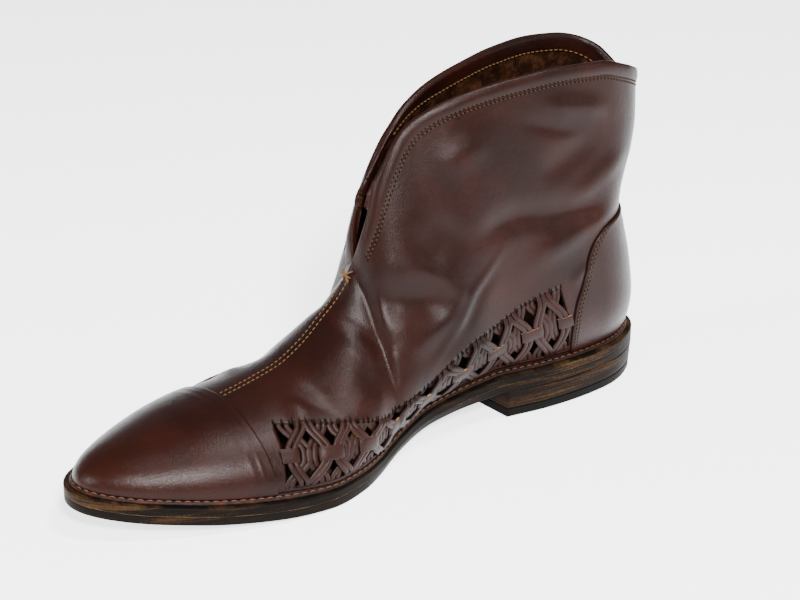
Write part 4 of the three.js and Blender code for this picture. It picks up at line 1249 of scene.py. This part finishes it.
# %% The pattern of one window
FIRST_TIE = 60.5
TIE_PERIOD = 19.1
TIE_COUNT = 9
STRIP_WIDTH = 2.15
STRIP_THICKNESS = 1.25
STRIP_PITCH = 2.5
KEEPER_LENGTH = 11.4
KEEPER_WIDTH = 5.4
WINDOW_RIBS = np.linspace(WINDOW_REAR - 0.03, WINDOW_FRONT + 0.02, 160)


def window_lines(side):
    """The window's sill and upper edge as shares of each rib, and how far forward its middle lies."""
    sill = up_at_height(side, WINDOW_RIBS, np.full(WINDOW_RIBS.shape, WINDOW_SILL))
    top = window_top(side, WINDOW_RIBS)
    ends = [leather_point(side, WINDOW_RIBS, line) for line in (sill, top)]
    forward = body_point(side, WINDOW_RIBS, (sill + top) / 2)[:, 1]
    return sill, top, forward, np.linalg.norm(ends[1] - ends[0], axis=1)


WINDOWS = {side: window_lines(side) for side in SIDES}


def weave_point(side, forward, rise, out):
    """A point over the window: rise 0 is its sill and 1 its upper edge."""
    sill, top, middle, _ = WINDOWS[side]
    rib = np.interp(forward, middle, WINDOW_RIBS)
    low, high = np.interp(rib, WINDOW_RIBS, sill), np.interp(rib, WINDOW_RIBS, top)
    return leather_point(side, rib, low + (high - low) * rise, out)


def window_height(side, forward):
    """Height of the window, measured on the leather."""
    return np.interp(forward, WINDOWS[side][2], WINDOWS[side][3])


def strip_paths():
    """For half a tie, paths of (share of the period, rise, out) for the front and the rear bundles."""
    rise = np.linspace(-0.06, 1.05, 40)
    middle = np.abs(rise - 0.5) * 2
    front = 0.135 + 0.30 * ease(0.14, 0.98, middle)
    front_out = -0.30 + 0.75 * (1 - ease(0.75, 1.0, middle)) - 0.30 * (1 - ease(0.0, 0.3, middle))
    rear = 0.12 + 0.33 * (1 - ease(0.08, 0.96, middle) ** 1.1)
    rear_out = -1.15 + 0.75 * (1 - ease(0.1, 0.7, middle)) + 0.35 * ease(0.86, 1.0, middle)
    sink = -1.0 * ease(1.0, 1.10, middle)
    return [(front, rise, front_out + sink), (rear, rise, rear_out + sink)]


def sweep_bar(sheets, edges, centre, across, out, width, thickness):
    """A bar along a path; its cut sides go to a list of their own."""
    half, top = width / 2, thickness / 2
    section = [(-half, -top), (-half, top * 0.55), (-half * 0.78, top), (0, top * 1.12), (half * 0.78, top),
               (half, top * 0.55), (half, -top)]
    ring = np.stack([centre + across * a + out * b for a, b in section], 0)
    sheets.add(np.concatenate([ring[1:6]]))
    edges.add(ring[:2])
    edges.add(ring[5:])
    edges.add(np.stack([ring[-1], ring[0]]))


def frame_along(path, normal):
    """Directions across a path that lies on the leather."""
    direction = np.gradient(path, axis=0)
    direction /= np.linalg.norm(direction, axis=1, keepdims=True)
    across = np.cross(direction, normal)
    across /= np.linalg.norm(across, axis=1, keepdims=True)
    return across


def bundles():
    """Each bundle of two strands: its tie, its side of the tie and its path. End ties have one side."""
    for tie in range(TIE_COUNT):
        for direction in (-1, 1):
            if (tie, direction) not in ((0, -1), (TIE_COUNT - 1, 1)):
                for path in strip_paths():
                    yield FIRST_TIE + tie * TIE_PERIOD, direction, path


def build_weave(side):
    """All the strips of one window, and their cut sides."""
    strips, cuts = Sheets(), Sheets()
    for middle, direction, (share, rise, out) in bundles():
        for strand in (-0.5, 0.5):
            forward = middle + direction * share * TIE_PERIOD + strand * STRIP_PITCH
            path = weave_point(side, forward, rise, out)
            normal = weave_point(side, forward, rise, out + 1.0) - path
            normal /= np.linalg.norm(normal, axis=1, keepdims=True)
            sweep_bar(strips, cuts, path, frame_along(path, normal), normal, STRIP_WIDTH, STRIP_THICKNESS)
    return strips, cuts


def build_slot_shades(side):
    """Painted shade: flat dark sheets for the slits that run on into the leather above the window, between the
    roots of the strands.
    """
    sheets = Sheets()
    reach = np.linspace(-0.6, 1.9, 6)
    width = 0.42 * np.sqrt(np.clip(1 - reach / 1.9, 0, 1))
    for number, (middle, direction, (share, _, _)) in enumerate(bundles()):
        for strand in (-1, 0, 1):
            longer = 0.75 + 0.5 * math.sin(number * 2.3 + strand * 1.7) ** 2
            forward = middle + direction * share[-1] * TIE_PERIOD + strand * STRIP_PITCH + 0 * reach
            rise = 1 + reach * longer / window_height(side, forward)
            sheets.add(np.stack([weave_point(side, forward - width, rise, 0.10),
                                 weave_point(side, forward + width, rise, 0.10)]), side > 0)
    return sheets


def build_keepers(side):
    """The keepers: short bands that arch over the pinched strips; their upper cut edge gets a painted highlight.
    """
    bands, highlight_edges = Sheets(), Sheets()
    for tie in range(TIE_COUNT):
        low, high = (-0.3 if tie == 0 else -1), (0.3 if tie == TIE_COUNT - 1 else 1)
        across = np.linspace(low, high, 15)
        forward = FIRST_TIE + tie * TIE_PERIOD + across * KEEPER_LENGTH / 2
        out = 1.45 * np.sqrt(np.maximum(1 - (np.abs(across) * 0.98) ** 3.6, 0)) - 0.5
        height = window_height(side, forward)
        rows = []
        for rise, lift in ((-1, -0.5), (-1, 0.3), (-0.88, 0.42), (0, 0.48), (0.88, 0.42), (1, 0.3), (1, -0.5)):
            share = 0.5 + np.clip(rise * KEEPER_WIDTH / 2, -0.4 * height, 0.4 * height) / height
            rows.append(weave_point(side, forward, share, out + lift))
        bands.add(np.array(rows[:6]), side < 0)
        highlight_edges.add(np.array(rows[5:]), side < 0)
    return bands, highlight_edges


for side in SIDES:
    node = f"woven_panel_{SIDE_NAMES[side]}"
    strips, cut_sides = build_weave(side)
    keepers, highlight_edges = build_keepers(side)
    # The cut sides get painted shade with patches of painted highlight, the slot sheets are painted shade, and
    # the keepers' upper edges a painted highlight.
    for name, sheets, finish in (("woven strips", strips, STRIP_LEATHER), ("cut sides", cut_sides, STRIP_SIDE_SHADE_AND_HIGHLIGHT),
                                 ("slots", build_slot_shades(side), SHADOW), ("keepers", keepers, STRIP_LEATHER),
                                 ("keeper edges", highlight_edges, KEEPER_EDGE_HIGHLIGHT)):
        sheet_piece(f"{name} {SIDE_NAMES[side]}", sheets, finish, node)

# %% [markdown]
# ## Stitches
#
# A stitch is a short length of waxed thread that dips into the leather at both ends. All the stitches of a
# seam are one mesh: each is a small lens-shaped bead laid along the seam's path.


# %% Laying a row of stitches
RING_SHARES = (-1, -0.72, 0, 0.72, 1)
RING_SIDES = 6


def even_steps(path, pitch):
    """Indices as fractions so that points lie at an even distance along the path."""
    steps = np.linalg.norm(np.diff(path, axis=0), axis=1)
    travel = np.concatenate([[0], np.cumsum(steps)])
    count = max(int(travel[-1] / pitch), 2)
    return np.interp(np.linspace(0, travel[-1], count + 1), travel, np.arange(len(path)))


def point_at(index, path):
    return np.array([np.interp(index, np.arange(len(path)), column) for column in path.T])


def stitch_row(points, faces, path, normal, pitch, length, radius):
    """Adds one bead per stitch along a path on the leather."""
    at = even_steps(path, pitch)
    for start, end in zip(at[:-1], at[1:]):
        middle = (start + end) / 2
        centre, ahead, up = point_at(middle, path), point_at(end, path), point_at(middle, normal)
        along = (ahead - centre) / max(np.linalg.norm(ahead - centre), 1e-6)
        up = up - along * (up @ along)
        up /= np.linalg.norm(up)
        side_way = np.cross(along, up)
        base = len(points)
        for share in RING_SHARES:
            size = radius * math.sqrt(max(1 - (abs(share) * 0.96) ** 2.6, 0.02))
            dip = -radius * 1.1 * abs(share) ** 2
            for turn in np.arange(RING_SIDES) * math.tau / RING_SIDES:
                points.append(centre + along * share * length / 2 + up * (dip + size * 0.8 * math.sin(turn))
                              + side_way * size * math.cos(turn))
        for ring in range(len(RING_SHARES) - 1):
            for k in range(RING_SIDES):
                a, b = base + ring * RING_SIDES + k, base + ring * RING_SIDES + (k + 1) % RING_SIDES
                faces.append([a, b, b + RING_SIDES, a + RING_SIDES])


def surface_path(side, ribs, ups, out):
    return leather_point(side, ribs, ups, out), body_normal(side, ribs, ups)

# %% [markdown]
# ## The seams of the boot
#
# Two rows of fine stitches hold the hem, two hold the counter, and a bolder row holds the sole. Each seam is a
# function that gives the paths of its rows, and one table has the sizes of its stitches. The fine rows lie on a
# dark strip of painted shade, where the thread pulls the leather into a groove.

# %% The seams
HEM_ROWS = (HEM_WIDTH + 0.05, HEM_WIDTH + 1.45)
COUNTER_ROWS = (0.0055, 0.0115)
COUNTER_UPS = np.linspace(0.03, COUNTER_TOP - 0.012, 160)
BESIDE_CENTRE = 0.004


def hem_rows():
    ribs = np.linspace(BESIDE_CENTRE, SLIT_RIB - 0.022, 400)
    for side in SIDES:
        for distance in HEM_ROWS:
            yield surface_path(side, ribs, up_at_distance(side, ribs, distance), 0.16)


def facing_rows():
    ribs = np.linspace(BESIDE_CENTRE, 0.40, 300)
    for side in SIDES:
        path, normal = surface_path(side, ribs, up_at_distance(side, ribs, facing_depth(ribs) - 0.9), -2.95)
        yield path, -normal


def counter_ribs(gap):
    """A line beside the counter's front edge."""
    return np.maximum(COUNTER_EDGE(COUNTER_UPS) - gap, 0.003)


def counter_rows():
    for side in SIDES:
        for gap in COUNTER_ROWS:
            yield surface_path(side, counter_ribs(gap), COUNTER_UPS, 1.06)


def centre_rows():
    """Two rows at an even distance beside the seam that runs from the slit to the cap."""
    ribs = np.linspace(SLIT_RIB + 0.012, CAP_RIB - 0.002, 240)
    shares = np.linspace(1, 0.8, 80)
    for side in SIDES:
        places = leather_point(side, ribs[:, None], shares[None, :])
        away = np.abs(places[..., 0] - centre_line(places[..., 1] / SOLE_LENGTH))
        away = np.maximum.accumulate(away, axis=1)
        yield surface_path(side, ribs, np.array([np.interp(1.35, row, shares) for row in away]), 0.15)


def sole_rows():
    sweep = np.linspace(BESIDE_CENTRE, 1 - BESIDE_CENTRE, 700)
    for side in SIDES:
        margin = margin_at(sweep, side)
        place = inset_edge(sweep, side, blend(np.minimum(BARE_EDGE, margin * 0.5), margin, 0.40))
        height = sole_top(place[:, 1] / SOLE_LENGTH) + CLEARANCE * 0.5 + FLANGE + 0.22
        yield np.column_stack([place, height]), np.tile((0.0, 0.0, 1.0), (len(sweep), 1))


def bar_tack():
    """Crossed stitches that stop the slit from tearing further."""
    rib, up = np.array([SLIT_RIB + 0.014]), np.array([1.0])
    base, normal = leather_point(MEDIAL, rib, up, 0.5)[0], body_normal(MEDIAL, rib, up)[0]
    down = np.cross(normal, (1.0, 0.0, 0.0))
    for across, along, lift in ((1, 0.9, 0.0), (1, -0.9, 0.15), (1.15, 0.1, 0.4), (1, 0.55, 0.2)):
        reach = np.array((across, 0, 0)) * 2.3 + down * along * 2.3
        yield np.linspace(base - reach, base + reach, 5) + normal * lift, np.tile(normal, (5, 1))


def stitch_line_shade(sheets, path, normal, width):
    """A dark strip of painted shade on the leather, where a row of stitches pulls it into a groove."""
    across = np.cross(np.gradient(path, axis=0), normal)
    across *= width / 2 / np.linalg.norm(across, axis=1, keepdims=True)
    sheets.add(np.stack([path - across, path + across]), True)


# Painted shade: dark strips under the fine stitch rows of the hem and the counter.
grooves = Sheets()
for side in SIDES:
    ribs = np.linspace(BESIDE_CENTRE, SLIT_RIB - 0.02, 400)
    for distance in HEM_ROWS:
        stitch_line_shade(grooves, *surface_path(side, ribs, up_at_distance(side, ribs, distance), 0.09), 0.62)
    for gap in COUNTER_ROWS:
        stitch_line_shade(grooves, *surface_path(side, counter_ribs(gap), COUNTER_UPS, 1.04), 0.5)
    # A dark line just in front of the counter's edge: the counter's dark cut edge, and painted shade under it.
    stitch_line_shade(grooves, *surface_path(side, counter_ribs(-0.0018), COUNTER_UPS, 0.07), 0.8)
sheet_piece("grooves", grooves, SHADOW, "upper", replaces=False)

# For each seam: its rows, the pitch, length and radius of its stitches, its thread and its slot
SEAMS = {"hem stitches": (hem_rows, (2.0, 1.4, 0.26), DARK_THREAD, "collar_hem"),
         "facing stitches": (facing_rows, (2.4, 1.8, 0.3), THREAD, "upper"),
         "counter stitches": (counter_rows, (2.0, 1.5, 0.24), DARK_THREAD, "heel_counter"),
         "centre stitches": (centre_rows, (2.2, 1.75, 0.3), THREAD, "upper"),
         "margin stitches": (sole_rows, (3.6, 2.7, 0.30), RED_THREAD, "upper"),
         "bar tack": (bar_tack, (20, 4.9, 0.42), THREAD, "upper")}
for name, (rows, stitch, thread, slot) in SEAMS.items():
    points, faces = [], []
    for path, normal in rows():
        stitch_row(points, faces, path, normal, *stitch)
    make_piece(name, points, faces, thread, [], slot)

# %% [markdown]
# ## The floor, the lights and the camera
#
# The boot stands on plain pale paper under wide soft lamps. The camera is a long lens, a little above the
# boot, that looks at the medial side from the front.

# %% The floor and the light of the room
bpy.ops.mesh.primitive_plane_add(size=8, location=(0, 0, -0.0002))
floor = bpy.context.object
floor.name = "paper floor"
paper = Finish("pale paper", (0.84, 0.85, 0.87), 0.95, specular=0.0)
for socket, value in (("Emission Color", (0.97, 0.98, 1.0, 1)), ("Emission Strength", 2.3)):
    paper.shader.inputs[socket].default_value = value
floor.data.materials.append(paper.material)
world = bpy.data.worlds.new("studio")
world.use_nodes = True
for socket, value in (("Color", (0.95, 0.96, 1.0, 1)), ("Strength", 0.35)):
    world.node_tree.nodes["Background"].inputs[socket].default_value = value
bpy.context.scene.world = world
print("floor and room ready")

# %% [markdown]
# ## The lamps
#
# One strong panel beside the toe makes the gloss on the cap and the folds. A lamp overhead and two weak ones
# round the boot keep its dark side readable. Small lamps give a tight highlight on waxed leather.

# %% Four soft lamps
def soft_lamp(name, place, target, size, power):
    """A square lamp that looks at its target."""
    light = bpy.data.lights.new(name, "AREA")
    light.shape = "RECTANGLE"
    light.size, light.size_y, light.energy = size, size, power
    lamp = bpy.data.objects.new(name, light)
    lamp.location = place
    lamp.rotation_euler = (Vector(target) - Vector(place)).to_track_quat("-Z", "Y").to_euler()
    bpy.context.scene.collection.objects.link(lamp)


soft_lamp("medial_side", (1.30, -0.60, 1.11), (0, -0.05, 0.04), 0.26, 84)
soft_lamp("overhead", (0.50, 0.30, 1.60), (0, 0, 0.05), 0.28, 30)
soft_lamp("heel_side", (1.25, 0.95, 0.72), (0, 0, 0.06), 0.3, 5)
soft_lamp("toe_side", (-0.35, -1.6, 0.75), (0, 0, 0.05), 0.32, 24)
print("lamps:", len(bpy.data.lights))

# %% [markdown]
# ## The camera
#
# The camera's place and direction come from fitting the sole's outline and the seams to the photograph. They
# are given in the last's millimetres, like every other place, and turned into the frame at the end.

# %% The camera at the photograph's angle
CAMERA_PLACE = np.array([575.77, 584.64, 364.2])
CAMERA_FORWARD = np.array([-0.7251, 0.5712, -0.3846])
CAMERA_RIGHT = np.array([0.6188, 0.7855, 0.0])


def place_camera():
    data = bpy.data.cameras.new("camera")
    data.lens, data.sensor_width = 85, 36
    camera = bpy.data.objects.new("camera", data)
    forward = CAMERA_FORWARD / np.linalg.norm(CAMERA_FORWARD)
    right = CAMERA_RIGHT - forward * (CAMERA_RIGHT @ forward)
    right /= np.linalg.norm(right)
    up = np.cross(right, forward)
    matrix = np.eye(4)
    matrix[:3, :3] = np.array([right, up, -forward]).T
    matrix[:3, 3] = to_frame(CAMERA_PLACE)
    camera.matrix_world = Matrix(matrix.tolist())
    bpy.context.scene.collection.objects.link(camera)
    bpy.context.scene.camera = camera
    return camera


camera = place_camera()
print("camera at", [round(c, 3) for c in camera.location])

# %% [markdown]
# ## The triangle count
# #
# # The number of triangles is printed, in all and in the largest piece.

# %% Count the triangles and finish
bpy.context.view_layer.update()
triangles = [len(mesh.loops) - 2 * len(mesh.polygons) for mesh in bpy.data.meshes]
print("triangles in all", sum(triangles), "most in one piece", max(triangles))
